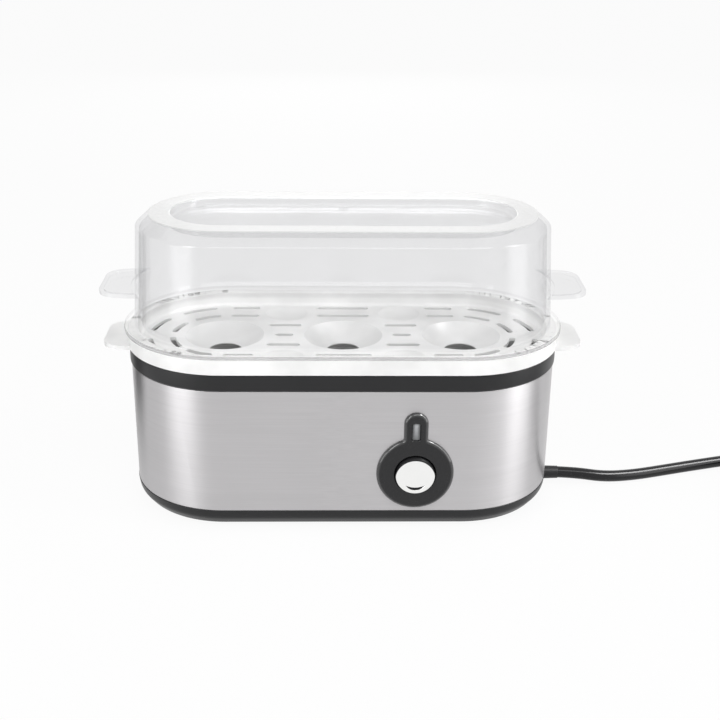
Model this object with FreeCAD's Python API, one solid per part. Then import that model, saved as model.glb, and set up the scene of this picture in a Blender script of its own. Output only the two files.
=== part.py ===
import FreeCAD, Part
import math
import os

# A three-egg steam cooker: clear lid, egg tray, water bowl, steel-sleeved base, push button and mains cord.
# Millimetres. +Z is up, the front with the button faces -Y, and Z = 0 is the table under the feet.

V = FreeCAD.Vector
UP = V(0, 0, 1)

# Plan outline: straight sides with a half circle at each end
END_CENTRE = 56.25        # from the middle to the centre of each round end
BODY_R = 46.3             # outside of the steel sleeve, measured from that centre
FIT = 0.3                 # gap between nested shells that lift apart
SNUG = 0.05               # radial gap round screws, pins and plugs

# Base
FOOT_DROP = 2.0           # the base hangs this far above the table
FOOT_R = 6.0
FOOT_SEAT = 0.8           # depth of a foot's pocket in the base
FOOT_X = 70.0
FOOT_Y = 21.0
BASE_HEIGHT = 8.3
BASE_PROUD = 0.3          # the base stands out from the sleeve
BASE_TUCK = 3.8           # how far its underside draws in
BASE_TUCK_HEIGHT = 4.0
BASE_FLOOR = 2.0
UPSTAND_HEIGHT = 4.7      # wall inside the sleeve that locates it
UPSTAND_WALL = 1.8
VENT_COUNT = 5
VENT_LENGTH = 26.0
VENT_WIDTH = 2.4
VENT_PITCH = 6.5

# Sleeve and upper ring
SLEEVE_HEIGHT = 61.5
SLEEVE_WALL = 0.6
RING_PROUD = 0.6
RING_BAND = 8.2           # visible height of the black ring
RING_BEVEL = 0.8
TONGUE_DEPTH = 4.8        # ring's wall inside the sleeve
TONGUE_WALL = 1.8
LIP_WALL = 1.6            # upright lip that the tray hangs over
LEDGE_DROP = 5.5          # bowl ledge under the ring's shoulder
LEDGE_THICK = 2.0

# Screws that pull the base up to the ring
BOSS_R = 3.5
BOSS_INSET = 2.0          # from the ring's tongue, which keeps the screw wells clear of the base's edge
BOSS_LENGTH = 20.0
POST_R = 4.0
SCREW_R = 1.5
SCREW_HEAD_R = 2.7
SCREW_HEAD = 2.2
SCREW_GRIP = 8.0          # plastic between the screw head and the top of the post
SCREW_BITE = 12.0         # thread inside the boss

# Water bowl and heater
BOWL_GAP = 0.5            # between the bowl's wall and the bosses
BOWL_SHEET = 0.8
BOWL_DEPTH = 15.3
BOWL_BEND = 4.0
BOWL_FLANGE_GAP = 1.0
SEAL_THICK = 0.8
SPREADER_R = 26.0
SPREADER_THICK = 2.0
ELEMENT_D = 6.6
ELEMENT_BEND = 15.0       # radius of the heating loop, half the distance between its legs
ELEMENT_LOOP_X = 45.0
ELEMENT_END_X = -50.0
ELEMENT_TURN_R = 9.0
ELEMENT_DROP = 12.0       # straight end below the turn
PIN_R = 1.6
PIN_LENGTH = 8.0
STRAP_X = -30.0
STRAP_WIDTH = 14.0
STRAP_THICK = 1.2
STRAP_GAP = 0.6
STUD_R = 2.0
NUT_R = 3.8
NUT_HEIGHT = 3.2
STUD_TIP = 1.5
THERMOSTAT_X = 16.0
THERMOSTAT_R = 8.0
THERMOSTAT_HEIGHT = 6.5
THERMOSTAT_EAR_R = 4.0
THERMOSTAT_EAR_X = 11.0
THERMOSTAT_EAR_THICK = 1.0
BLADE_LENGTH = 7.0
BLADE_HALF = 0.4
BLADE_APART = 4.0         # of each connection blade from the middle
FUSE_X = -12.0
FUSE_R = 2.4
FUSE_LENGTH = 16.0

# Egg tray
SKIRT_GAP = 0.4
SKIRT_HEIGHT = 7.8
SKIRT_PROUD = 1.2
TRAY_WALL = 1.6
TRAY_DEPTH = 6.6
TRAY_FLOOR = 1.8
TRAY_ROUND = 1.5
CUP_PITCH = 57.4
CUP_R = 19.0
CUP_SPHERE_R = 30.0
CUP_WALL = 1.6
CUP_HOLE_R = 8.0
DIMPLE_X = 28.4
DIMPLE_Y = 29.5
DIMPLE_R = 10.4
DIMPLE_DEPTH = 2.2
SLOT_WIDTH = 3.0
OUTER_TRACK_INSET = 5.0   # from the tray's inner wall to the outer track of slots
TRACK_PITCH = 10.9
MIDDLE_SLOT = 26.4
SIDE_SLOT = 14.0
SIDE_SLOT_X = 49.2
END_SLOT_ANGLES = ((10.5, 34.0), (51.5, 75.5))
LADDER_X = 28.6
LADDER_PITCH = 12.9
LADDER_SHORT = 9.0
LADDER_LONG = 16.0
TRAY_TAB_REACH = 10.6
TRAY_TAB_ROOT = 17.5
TRAY_TAB_TIP = 14.5
TRAY_TAB_THICK = 2.0
TAB_CORNER = 9.0

# Lid
LID_WALL = 2.0
LID_FLANGE = 1.7
LID_FLANGE_PROUD = 1.3    # beyond the tray's skirt
LID_FLANGE_WIDTH = 4.9
LID_WALL_HEIGHT = 50.0
LID_DRAFT = 3.0
LID_CHAMFER_WIDTH = 6.3
LID_CHAMFER_HEIGHT = 5.7
LID_RIM_WIDTH = 10.0
RECESS_DEPTH = 3.7
RIB_DEPTH = 2.0           # lid's rib inside the tray's rim
RIB_WALL = 1.4
LID_VENT_R = 2.0
LID_VENT_INSET = 4.0
LID_TAB_HEIGHT = 18.8     # underside of the tab above the tray's rim
LID_TAB_REACH = 14.4
LID_TAB_ROOT = 19.5
LID_TAB_TIP = 17.0
LID_TAB_THICK = 1.9
TAB_RIM = 1.8
TAB_DISH = 0.7

# Control on the front
BUTTON_X = 33.5
BEZEL_R = 18.2
BEZEL_MARGIN = 1.9        # above the base
BEZEL_THICK = 2.0
BEZEL_BEVEL = 1.2
STEM_WIDTH = 11.4
STEM_MARGIN = 10.2        # under the ring
WINDOW_WIDTH = 4.1
WINDOW_HEIGHT = 8.7
WINDOW_DROP = 5.1         # under the top of the stem
LENS_DEPTH = 5.0
LENS_FLANGE = 1.0
LAMP_R = 2.4
LAMP_LENGTH = 14.0
BUTTON_R = 9.2
BUTTON_PROUD = 1.7
BUTTON_TRAVEL = 2.0
BUTTON_DISH = 0.5
BUTTON_FLANGE_R = 10.8
BUTTON_FLANGE = 1.2
COLLAR_WALL = 2.6         # bezel's collar round the button, through the sleeve
COLLAR_DEPTH = 3.3
STEM_R = 3.0
SPRING_R = 8.0
SPRING_WIRE_R = 0.5
SPRING_TURNS = 3
SPRING_ROOM = 5.4         # from the button's flange to the bracket
BRACKET_THICK = 1.2
BRACKET_HALF_HEIGHT = 10.0
BEZEL_POST_X = 15.2
BEZEL_POST_R = 2.2
SMALL_SCREW_R = 1.2
SMALL_HEAD_R = 2.2
SMALL_HEAD = 1.6
SMALL_BITE = 6.0
SWITCH_HALF_WIDTH = 9.0
SWITCH_HALF_HEIGHT = 8.0
SWITCH_DEPTH = 16.0

# Mains cord
CORD_D = 5.8
CORD_Z = 6.3              # height of the cord's outlet in the right end
GROMMET_R = 3.45
GROMMET_BARREL_R = 3.4
GROMMET_INSIDE = 16.0
GROMMET_TIP_R = 3.15
GROMMET_FLANGE = 1.8
GROMMET_FLANGE_HALF = 5.4
TRENCH_FLOOR = 0.8
INNER_CORD_LENGTH = 24.0
CLAMP_WIDTH = 8.0
CLAMP_HALF_SPAN = 12.0
CLAMP_THICK = 2.0
CLAMP_SCREW_Y = 8.0
BLOCK_LENGTH = 18.0
BLOCK_HALF_WIDTH = 9.0
BLOCK_HEIGHT = 11.0
LEAD_R = 1.2

# Free stretch from the outlet to the coil, points chosen by hand, on the table from the fourth on
CORD_ROUTE = (
    (110.0, 0.0, 6.3),
    (122.0, 0.0, 6.3),
    (141.0, 3.6, 3.8),
    (162.0, 8.0, 3.0),
    (184.0, 13.0, 3.2),
    (206.0, 18.0, 4.0),
    (230.0, 24.0, 4.0),
)
# Coil of the put-away length, two layers, wound clockwise
COIL_OUTER_R = 35.6
COIL_STEP = 6.4           # between neighbouring turns and between the layers
COIL_TURNS = 3            # whole turns, and then on to where the tail leaves
TAIL_HEADING = -90.0      # degrees from +X
# Tail to the plug, from the end of the coil, points chosen by hand
TAIL_ROUTE = (
    (0.0, 0.0, 0.0),
    (0.0, -11.0, 0.0),
    (0.8, -24.0, -3.5),
    (0.8, -35.0, -3.5),
)
TIE_THICK = 0.8
TIE_WIDTH = 8.0
TIE_ROOM = 0.5
TIE_TURN = 200.0          # degrees of winding from the coil's entry
PLUG_NECK = 10.0
PLUG_NECK_R = 4.4
PLUG_LENGTH = 28.0
PLUG_HALF_WIDTH = 17.2
PLUG_BACK_HALF = 6.5
PLUG_SHOULDER = 10.0
PLUG_HALF_THICK = 6.8
PLUG_ROUND = 1.6
PLUG_PIN_R = 2.0
PLUG_PIN_LENGTH = 19.0
PLUG_PIN_SEAT = 6.0
PLUG_PIN_Y = 9.5

# Heights that follow from the sizes above
BASE_TOP = FOOT_DROP + BASE_HEIGHT
FLOOR_TOP = FOOT_DROP + BASE_FLOOR
SLEEVE_TOP = BASE_TOP + SLEEVE_HEIGHT
SHOULDER = SLEEVE_TOP + RING_BAND
TONGUE_BOTTOM = SLEEVE_TOP - TONGUE_DEPTH
LEDGE_TOP = SHOULDER - LEDGE_DROP
LEDGE_BOTTOM = LEDGE_TOP - LEDGE_THICK
POST_TOP = LEDGE_BOTTOM - BOSS_LENGTH
SKIRT_BOTTOM = SHOULDER + SKIRT_GAP
RIM_TOP = SKIRT_BOTTOM + SKIRT_HEIGHT
LIP_TOP = RIM_TOP - TRAY_WALL
TRAY_FLOOR_TOP = RIM_TOP - TRAY_DEPTH
TRAY_FLOOR_BOTTOM = TRAY_FLOOR_TOP - TRAY_FLOOR
LID_SHOULDER = RIM_TOP + LID_WALL_HEIGHT
LID_TOP = LID_SHOULDER + LID_CHAMFER_HEIGHT
RECESS_FLOOR = LID_TOP - RECESS_DEPTH
BOWL_FLANGE_BOTTOM = LEDGE_TOP + SEAL_THICK
BOWL_BOTTOM = BOWL_FLANGE_BOTTOM - BOWL_DEPTH
SPREADER_BOTTOM = BOWL_BOTTOM - SPREADER_THICK
ELEMENT_Z = SPREADER_BOTTOM - ELEMENT_D / 2
STRAP_TOP = SPREADER_BOTTOM - ELEMENT_D - STRAP_GAP
BUTTON_Z = BASE_TOP + BEZEL_MARGIN + BEZEL_R
STEM_TOP = SLEEVE_TOP - STEM_MARGIN
WINDOW_Z = STEM_TOP - WINDOW_DROP - WINDOW_HEIGHT / 2

# Radii that follow from the sizes above
SLEEVE_IN = BODY_R - SLEEVE_WALL
NEST_R = SLEEVE_IN - FIT
TONGUE_IN = NEST_R - TONGUE_WALL
BASE_R = BODY_R + BASE_PROUD
RING_R = BODY_R + RING_PROUD
SKIRT_R = BODY_R + SKIRT_PROUD
SKIRT_IN = SKIRT_R - TRAY_WALL
LIP_R = SKIRT_IN - FIT
LIP_IN = LIP_R - LIP_WALL
TRAY_OUT = LIP_IN - FIT
TRAY_IN = TRAY_OUT - TRAY_WALL
BOSS_CIRCLE = TONGUE_IN - BOSS_R - BOSS_INSET
BOWL_R = BOSS_CIRCLE - BOSS_R - BOWL_GAP
LID_FLANGE_R = SKIRT_R + LID_FLANGE_PROUD
LID_FOOT_R = LID_FLANGE_R - LID_FLANGE_WIDTH
LID_SHOULDER_R = LID_FOOT_R - LID_DRAFT
LID_TOP_R = LID_SHOULDER_R - LID_CHAMFER_WIDTH
RECESS_R = LID_TOP_R - LID_RIM_WIDTH
END_X = END_CENTRE + BASE_R

# Depths of the control, from front to back
FRONT = -BODY_R
BEZEL_FACE = FRONT - BEZEL_THICK
BUTTON_FACE = BEZEL_FACE - BUTTON_PROUD
COLLAR_BACK = FRONT + COLLAR_DEPTH
FLANGE_FRONT = COLLAR_BACK + FIT
FLANGE_BACK = FLANGE_FRONT + BUTTON_FLANGE
BRACKET_FRONT = FLANGE_BACK + SPRING_ROOM
BRACKET_BACK = BRACKET_FRONT + BRACKET_THICK


def one(shape):
    """The single solid that a step should leave."""
    solids = shape.removeSplitter().Solids
    if len(solids) != 1:
        raise ValueError("expected one solid, found %d" % len(solids))
    return solids[0]


def rounded_wire(corners, place):
    """Closed wire through corners (u, v) or (u, v, radius), set in space by place(u, v)."""
    flat = [V(c[0], c[1], 0) for c in corners]
    count = len(flat)
    stops = []
    for i, here in enumerate(flat):
        radius = corners[i][2] if len(corners[i]) > 2 else 0.0
        if not radius:
            stops.append((here, None, here))
            continue
        to_last = (flat[i - 1] - here).normalize()
        to_next = (flat[(i + 1) % count] - here).normalize()
        half = to_last.getAngle(to_next) / 2
        setback = radius / math.tan(half)
        inward = (to_last + to_next).normalize()
        middle = here + inward * (radius / math.sin(half) - radius)
        stops.append((here + to_last * setback, middle, here + to_next * setback))
    edges = []
    for i, (start, middle, end) in enumerate(stops):
        if middle:
            edges.append(Part.Arc(*[place(p.x, p.y) for p in (start, middle, end)]).toShape())
        following = stops[(i + 1) % count][0]
        if end.distanceToPoint(following) > 1e-6:
            edges.append(Part.makeLine(place(end.x, end.y), place(following.x, following.y)))
    return Part.Wire(edges)


def around(corners):
    """Solid that carries a profile of (radius, height) corners round the plan outline."""
    pieces = []
    for side in (1, -1):
        wall = rounded_wire(corners, lambda r, z: V(-END_CENTRE, side * r, z))
        pieces.append(Part.Face(wall).extrude(V(2 * END_CENTRE, 0, 0)))
        end = rounded_wire(corners, lambda r, z: V(side * END_CENTRE, -side * r, z))
        pieces.append(Part.Face(end).revolve(V(side * END_CENTRE, 0, 0), UP, 180))
    return one(pieces[0].fuse(pieces[1:]))


def plate(corners, low, high):
    """Upright prism over a plan of rounded corners."""
    return Part.Face(rounded_wire(corners, lambda x, y: V(x, y, low))).extrude(V(0, 0, high - low))


def pill(half, radius, place):
    """Face with straight sides and round ends, along u about the origin, set in space by place(u, v)."""
    edges = []
    for side in (1, -1):
        edges.append(Part.makeLine(place(-side * half, -side * radius), place(side * half, -side * radius)))
        edges.append(Part.Arc(place(side * half, -side * radius), place(side * (half + radius), 0),
                              place(side * half, side * radius)).toShape())
    return Part.Face(Part.Wire(edges))


def stadium(radius, low, high):
    """Upright prism over the plan outline at one radius."""
    return pill(END_CENTRE, radius, lambda x, y: V(x, y, low)).extrude(V(0, 0, high - low))


def slot(length, width, low, high):
    """Upright prism with rounded ends, along X, about the origin."""
    radius = width / 2
    return pill(length / 2 - radius, radius, lambda x, y: V(x, y, low)).extrude(V(0, 0, high - low))


def block(low, high):
    """Box between two corners."""
    return Part.makeBox(*(V(*high) - V(*low)), V(*low))


def rod(radius, start, end):
    """Round bar between two points."""
    along = V(*end) - V(*start)
    return Part.makeCylinder(radius, along.Length, V(*start), along)


def at(shape, x, y, z=0.0):
    """Copy of a shape, moved."""
    return shape.translated(V(x, y, z))


def both_ways(points):
    """Each plan point with its mirror images in X and Y."""
    return [(sx * x, sy * y) for x, y in points for sx in (1, -1) for sy in (1, -1)]


def smoothed_path(points):
    """Straight runs joined by the largest even arcs, with the arcs' radii."""
    edges = []
    radii = []
    last = points[0]
    for before, corner, after in zip(points, points[1:], points[2:]):
        run_in = corner - before
        run_out = after - corner
        half = run_in.getAngle(run_out) / 2
        setback = 0.45 * min(run_in.Length, run_out.Length)
        radius = setback / math.tan(half)
        run_in.normalize()
        run_out.normalize()
        start = corner - run_in * setback
        end = corner + run_out * setback
        middle = corner + (run_out - run_in).normalize() * (radius / math.cos(half) - radius)
        edges.append(Part.makeLine(last, start))
        edges.append(Part.Arc(start, middle, end).toShape())
        radii.append(radius)
        last = end
    edges.append(Part.makeLine(last, points[-1]))
    return Part.Wire(edges), radii


def tube(path, radius, start, heading):
    """Round tube along a path that leaves start in the given heading."""
    section = Part.Wire(Part.makeCircle(radius, start, heading))
    return path.makePipeShell([section], True, False)


def cord_tube(points, radius, name):
    """Round cord along a route, with its radii and its volume against section times length printed."""
    route = [V(*p) for p in points]
    path, radii = smoothed_path(route)
    solid = one(tube(path, radius, route[0], route[1] - route[0]))
    share = solid.Volume / (math.pi * radius ** 2 * path.Length)
    print(name, "length %.1f" % path.Length, "radii", ["%.0f" % r for r in radii], "share %.4f" % share)
    return solid


def biarc(start, heading_in, end, heading_out):
    """Two arcs that leave start and reach end in the given headings."""
    span = end - start
    together = heading_in + heading_out
    bend = 2 * (1 - heading_in.dot(heading_out))
    lean = span.dot(together)
    reach = (math.sqrt(lean ** 2 + bend * span.dot(span)) - lean) / bend
    middle = (start + heading_in * reach + end - heading_out * reach) / 2
    arcs = []
    for first, heading, last in ((start, heading_in, middle), (end, heading_out * -1, middle)):
        chord = last - first
        half = heading.getAngle(chord) / 2
        rise = chord.Length / 2 * math.tan(half)
        outward = (heading - chord * (heading.dot(chord) / chord.dot(chord))).normalize()
        arcs.append((first, first + chord / 2 + outward * rise, last))
    return [Part.Arc(*arcs[0]).toShape(), Part.Arc(*arcs[1][::-1]).toShape()]


def winding_path(point_at, angle, pieces, straight):
    """Path of biarcs along a winding, with a straight end of the given length at each side."""
    small = 1e-4

    def heading_at(turned):
        return (point_at(turned + small) - point_at(turned - small)).normalize()

    stops = [angle * i / pieces for i in range(pieces + 1)]
    edges = []
    for first, last in zip(stops, stops[1:]):
        edges += biarc(point_at(first), heading_at(first), point_at(last), heading_at(last))
    enter = point_at(0) - heading_at(0) * straight
    leave = point_at(angle) + heading_at(angle) * straight
    if straight:
        edges.insert(0, Part.makeLine(enter, point_at(0)))
        edges.append(Part.makeLine(point_at(angle), leave))
    return Part.Wire(edges), enter, heading_at(0), leave


def own_gap(path, diameter):
    """Least clear distance of a wound tube to itself, measured on points of its centre line."""
    step = diameter / 3
    points = path.discretize(Distance=step)
    apart = int(3 * diameter / step)
    least = min((p - q).Length for i, p in enumerate(points) for q in points[i + apart:])
    return least - diameter


def screws(places, radius, head_radius, head, length, axis):
    """Group of round-headed screws: each place is the underside of a head, and axis points to the tip."""
    made = []
    for place in places:
        seat = V(*place)
        shank = rod(radius, seat, seat + axis * length)
        made.append(one(rod(head_radius, seat - axis * head, seat).fuse(shank)))
    return Part.Compound(made)


def tab(side, inner, reach, root, tip, thick, low):
    """Flat rounded lug that stands out from one end, starting inside the wall there."""
    near = END_CENTRE
    far = END_CENTRE + inner + reach
    corners = [(side * near, -root), (side * (far - reach), -root), (side * far, -tip, TAB_CORNER),
               (side * far, tip, TAB_CORNER), (side * (far - reach), root), (side * near, root)]
    return plate(corners, low, low + thick)


POSTS = both_ways([(END_CENTRE, BOSS_CIRCLE)])
FEET = both_ways([(FOOT_X, FOOT_Y)])
EAR_HOLES = (THERMOSTAT_X - THERMOSTAT_EAR_X, THERMOSTAT_X + THERMOSTAT_EAR_X)


def make_lower_housing():
    """Black base: tucked-in tray with an upstand for the sleeve, screw posts, vents and the cord's trench."""
    foot_r = BASE_R - BASE_TUCK
    tuck_top = FOOT_DROP + BASE_TUCK_HEIGHT
    shell = around([
        (0, FOOT_DROP), (foot_r, FOOT_DROP, 1.0), (BASE_R - 0.6, tuck_top, 5.0), (BASE_R, BASE_TOP, 0.4),
        (NEST_R, BASE_TOP), (NEST_R, BASE_TOP + UPSTAND_HEIGHT),
        (NEST_R - UPSTAND_WALL, BASE_TOP + UPSTAND_HEIGHT), (NEST_R - UPSTAND_WALL, tuck_top + 0.6, 1.5),
        (foot_r - 1.0, FLOOR_TOP, 1.5), (0, FLOOR_TOP)])
    added = [rod(POST_R, (x, y, FLOOR_TOP - 1), (x, y, POST_TOP)) for x, y in POSTS]
    added += [rod(3.0, (CLAMP_X, y, FLOOR_TOP - 1), (CLAMP_X, y, CLAMP_BOTTOM))
              for y in (-CLAMP_SCREW_Y, CLAMP_SCREW_Y)]
    wall_x = END_CENTRE + NEST_R - UPSTAND_WALL
    trench_z = FOOT_DROP + TRENCH_FLOOR
    trench_half = GROMMET_BARREL_R + FIT
    lip_x = wall_x - GROMMET_FLANGE - 2 * FIT
    lip_half = GROMMET_FLANGE_HALF + FIT
    removed = [
        block((INNER_CORD_END - 2, -trench_half, trench_z), (wall_x, trench_half, BASE_TOP)),
        block((lip_x, -lip_half, trench_z), (wall_x, lip_half, BASE_TOP + 1)),
        rod(GROMMET_R + SNUG, (wall_x - 4, 0, CORD_Z), (END_X + 4, 0, CORD_Z)),
    ]
    for x, y in POSTS:
        removed.append(rod(SCREW_HEAD_R + FIT, (x, y, 0), (x, y, POST_TOP - SCREW_GRIP)))
        removed.append(rod(SCREW_R + SNUG, (x, y, 0), (x, y, POST_TOP + 1)))
    removed += [rod(FOOT_R + SNUG, (x, y, 0), (x, y, FOOT_DROP + FOOT_SEAT)) for x, y in FEET]
    for y in (-CLAMP_SCREW_Y, CLAMP_SCREW_Y):
        removed.append(rod(SMALL_SCREW_R + SNUG, (CLAMP_X, y, FLOOR_TOP), (CLAMP_X, y, CLAMP_BOTTOM + 1)))
    for i in range(VENT_COUNT):
        removed.append(slot(VENT_LENGTH, VENT_WIDTH, 0, FLOOR_TOP + 1).translated(
            V(-END_CENTRE / 2, (i - (VENT_COUNT - 1) / 2) * VENT_PITCH, 0)))
    return one(shell.fuse(added).cut(removed))


def arc_slot(radius, first, last, width, low, high):
    """Upright prism along an arc about the origin, with rounded ends; angles in degrees from +X."""
    def spot(r, angle):
        return V(r * math.cos(math.radians(angle)), r * math.sin(math.radians(angle)), low)

    inner = radius - width / 2
    outer = radius + width / 2
    cap = math.degrees(width / 2 / radius)
    middle = (first + last) / 2
    wire = Part.Wire([
        Part.Arc(spot(outer, first), spot(outer, middle), spot(outer, last)).toShape(),
        Part.Arc(spot(outer, last), spot(radius, last + cap), spot(inner, last)).toShape(),
        Part.Arc(spot(inner, last), spot(inner, middle), spot(inner, first)).toShape(),
        Part.Arc(spot(inner, first), spot(radius, first - cap), spot(outer, first)).toShape(),
    ])
    return Part.Face(wire).extrude(V(0, 0, high - low))


def make_rubber_feet():
    """Four round feet, seated in pockets of the base."""
    foot = Part.makeCylinder(FOOT_R, FOOT_DROP + FOOT_SEAT)
    foot = foot.makeFillet(0.6, [e for e in foot.Edges if e.BoundBox.ZMax < 0.01])
    return Part.Compound([at(foot, x, y) for x, y in FEET])


def make_steel_sleeve():
    """Brushed steel band, with openings for the button's collar, the bezel's posts and the lamp."""
    band = around([(SLEEVE_IN, BASE_TOP), (BODY_R, BASE_TOP), (BODY_R, SLEEVE_TOP), (SLEEVE_IN, SLEEVE_TOP)])
    near = FRONT - 2
    back = FRONT + 4
    collar = BUTTON_R + FIT + COLLAR_WALL + FIT
    removed = [rod(collar, (BUTTON_X, near, BUTTON_Z), (BUTTON_X, back, BUTTON_Z))]
    for side in (1, -1):
        x = BUTTON_X + side * BEZEL_POST_X
        removed.append(rod(BEZEL_POST_R + FIT, (x, near, BUTTON_Z), (x, back, BUTTON_Z)))
    half_w = WINDOW_WIDTH / 2 + LENS_FLANGE + FIT
    half_h = WINDOW_HEIGHT / 2 + LENS_FLANGE + FIT
    removed.append(block((BUTTON_X - half_w, near, WINDOW_Z - half_h),
                         (BUTTON_X + half_w, back, WINDOW_Z + half_h)))
    return one(band.cut(removed))


def make_upper_ring():
    """Black ring that caps the sleeve: shoulder, upright lip, bowl ledge, tongue and screw bosses."""
    ring = around([
        (RING_R, SHOULDER, 0.6), (LIP_R, SHOULDER), (LIP_R, LIP_TOP), (LIP_IN, LIP_TOP), (LIP_IN, LEDGE_TOP),
        (BOWL_R + FIT, LEDGE_TOP), (BOWL_R + FIT, LEDGE_BOTTOM), (TONGUE_IN, LEDGE_BOTTOM),
        (TONGUE_IN, TONGUE_BOTTOM), (NEST_R, TONGUE_BOTTOM), (NEST_R, SLEEVE_TOP),
        (RING_R - RING_BEVEL, SLEEVE_TOP), (RING_R, SLEEVE_TOP + RING_BEVEL, 0.3)])
    bosses = [rod(BOSS_R, (x, y, POST_TOP), (x, y, LEDGE_TOP - 0.5)) for x, y in POSTS]
    pilots = [rod(SCREW_R + SNUG, (x, y, POST_TOP - 1), (x, y, POST_TOP + SCREW_BITE + 1)) for x, y in POSTS]
    return one(ring.fuse(bosses).cut(pilots))


def make_housing_screws():
    """Four screws, deep in the base's posts, that hold the base, the sleeve and the ring together."""
    seats = [(x, y, POST_TOP - SCREW_GRIP) for x, y in POSTS]
    return screws(seats, SCREW_R, SCREW_HEAD_R, SCREW_HEAD, SCREW_GRIP + SCREW_BITE, UP)


def make_bowl_seal():
    """Flat silicone ring between the bowl's flange and the ring's ledge."""
    inner = BOWL_R + 3 * FIT
    outer = LIP_IN - BOWL_FLANGE_GAP
    top = BOWL_FLANGE_BOTTOM
    return around([(inner, LEDGE_TOP), (outer, LEDGE_TOP), (outer, top), (inner, top)])


def make_water_bowl():
    """Pressed sheet bowl with a flat flange, which holds the water."""
    outer = LIP_IN - BOWL_FLANGE_GAP
    sheet = BOWL_SHEET
    low = BOWL_BOTTOM
    flange = BOWL_FLANGE_BOTTOM
    return around([
        (0, low), (BOWL_R, low, BOWL_BEND), (BOWL_R, flange, 0.5), (outer, flange), (outer, flange + sheet),
        (BOWL_R - sheet, flange + sheet, 1.2), (BOWL_R - sheet, low + sheet, BOWL_BEND - sheet),
        (0, low + sheet)])


def make_heat_spreader():
    """Aluminium plate under the bowl, with the stud for the strap."""
    body = stadium(SPREADER_R, SPREADER_BOTTOM, BOWL_BOTTOM)
    stud_end = STRAP_TOP - STRAP_THICK - NUT_HEIGHT - STUD_TIP
    holes = [rod(SMALL_SCREW_R + SNUG, (x, 0, SPREADER_BOTTOM - 1), (x, 0, BOWL_BOTTOM)) for x in EAR_HOLES]
    stud = rod(STUD_R, (STRAP_X, 0, stud_end), (STRAP_X, 0, BOWL_BOTTOM))
    return one(body.fuse(stud).cut(holes))


def make_heating_element():
    """Sheathed heating loop against the spreader, with both ends turned down."""
    low = ELEMENT_Z - ELEMENT_TURN_R - ELEMENT_DROP
    far = ELEMENT_END_X - ELEMENT_TURN_R
    diagonal = ELEMENT_TURN_R * (1 - math.sqrt(0.5))
    edges = []
    for side in (-1, 1):
        y = side * ELEMENT_BEND
        down = Part.makeLine(V(far, y, low), V(far, y, ELEMENT_Z - ELEMENT_TURN_R))
        turn = Part.Arc(V(far, y, ELEMENT_Z - ELEMENT_TURN_R), V(far + diagonal, y, ELEMENT_Z - diagonal),
                        V(ELEMENT_END_X, y, ELEMENT_Z)).toShape()
        leg = Part.makeLine(V(ELEMENT_END_X, y, ELEMENT_Z), V(ELEMENT_LOOP_X, y, ELEMENT_Z))
        edges.append([down, turn, leg])
    loop = Part.Arc(V(ELEMENT_LOOP_X, -ELEMENT_BEND, ELEMENT_Z),
                    V(ELEMENT_LOOP_X + ELEMENT_BEND, 0, ELEMENT_Z),
                    V(ELEMENT_LOOP_X, ELEMENT_BEND, ELEMENT_Z)).toShape()
    path = Part.Wire(edges[0] + [loop] + edges[1][::-1])
    return one(tube(path, ELEMENT_D / 2, V(far, -ELEMENT_BEND, low), UP))


def make_element_pins():
    """Two connection pins at the ends of the heating loop."""
    top = ELEMENT_Z - ELEMENT_TURN_R - ELEMENT_DROP
    x = ELEMENT_END_X - ELEMENT_TURN_R
    sides = (-ELEMENT_BEND, ELEMENT_BEND)
    return Part.Compound([rod(PIN_R, (x, y, top - PIN_LENGTH), (x, y, top)) for y in sides])


def make_thermostat():
    """Disc thermostat with two ears and two connection blades, flat against the spreader."""
    top = SPREADER_BOTTOM
    low = top - THERMOSTAT_HEIGHT
    body = rod(THERMOSTAT_R, (THERMOSTAT_X, 0, low), (THERMOSTAT_X, 0, top))
    span = 2 * (THERMOSTAT_EAR_X + THERMOSTAT_EAR_R)
    ears = slot(span, 2 * THERMOSTAT_EAR_R, top - THERMOSTAT_EAR_THICK, top)
    blades = [block((x - BLADE_HALF, -3, low - BLADE_LENGTH), (x + BLADE_HALF, 3, low))
              for x in (THERMOSTAT_X - BLADE_APART, THERMOSTAT_X + BLADE_APART)]
    holes = [rod(SMALL_SCREW_R + SNUG, (x, 0, low), (x, 0, top + 1)) for x in EAR_HOLES]
    return one(body.fuse([at(ears, THERMOSTAT_X, 0)] + blades).cut(holes))


def make_thermostat_screws():
    """Two small screws through the thermostat's ears."""
    z = SPREADER_BOTTOM - THERMOSTAT_EAR_THICK
    length = THERMOSTAT_EAR_THICK + SPREADER_THICK - 0.2
    return screws([(x, 0, z) for x in EAR_HOLES], SMALL_SCREW_R, SMALL_HEAD_R, SMALL_HEAD, length, UP)


def make_thermal_fuse():
    """Sleeved thermal fuse that lies against the spreader between the loop's legs."""
    z = SPREADER_BOTTOM - FUSE_R
    body = rod(FUSE_R, (FUSE_X - FUSE_LENGTH / 2, 0, z), (FUSE_X + FUSE_LENGTH / 2, 0, z))
    return body.makeFillet(0.8, [e for e in body.Edges if e.Curve.TypeId == "Part::GeomCircle"])


def make_bowl_strap():
    """Bent steel strap whose ends hook under the ring, which pulls the bowl down on its seal."""
    top = STRAP_TOP
    t = STRAP_THICK
    rise = BOWL_R + 2.2
    out = NEST_R - 0.6
    hook = TONGUE_BOTTOM
    half = [(rise, top - t), (rise, hook - t), (out, hook - t),
            (out, hook), (rise - t, hook), (rise - t, top)]
    corners = half + [(-y, z) for y, z in half[::-1]]
    wire = rounded_wire(corners, lambda y, z: V(STRAP_X - STRAP_WIDTH / 2, y, z))
    bent = Part.Face(wire).extrude(V(STRAP_WIDTH, 0, 0))
    return one(bent.cut(rod(STUD_R + SNUG, (STRAP_X, 0, top - 2 * t), (STRAP_X, 0, top + t))))


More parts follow.
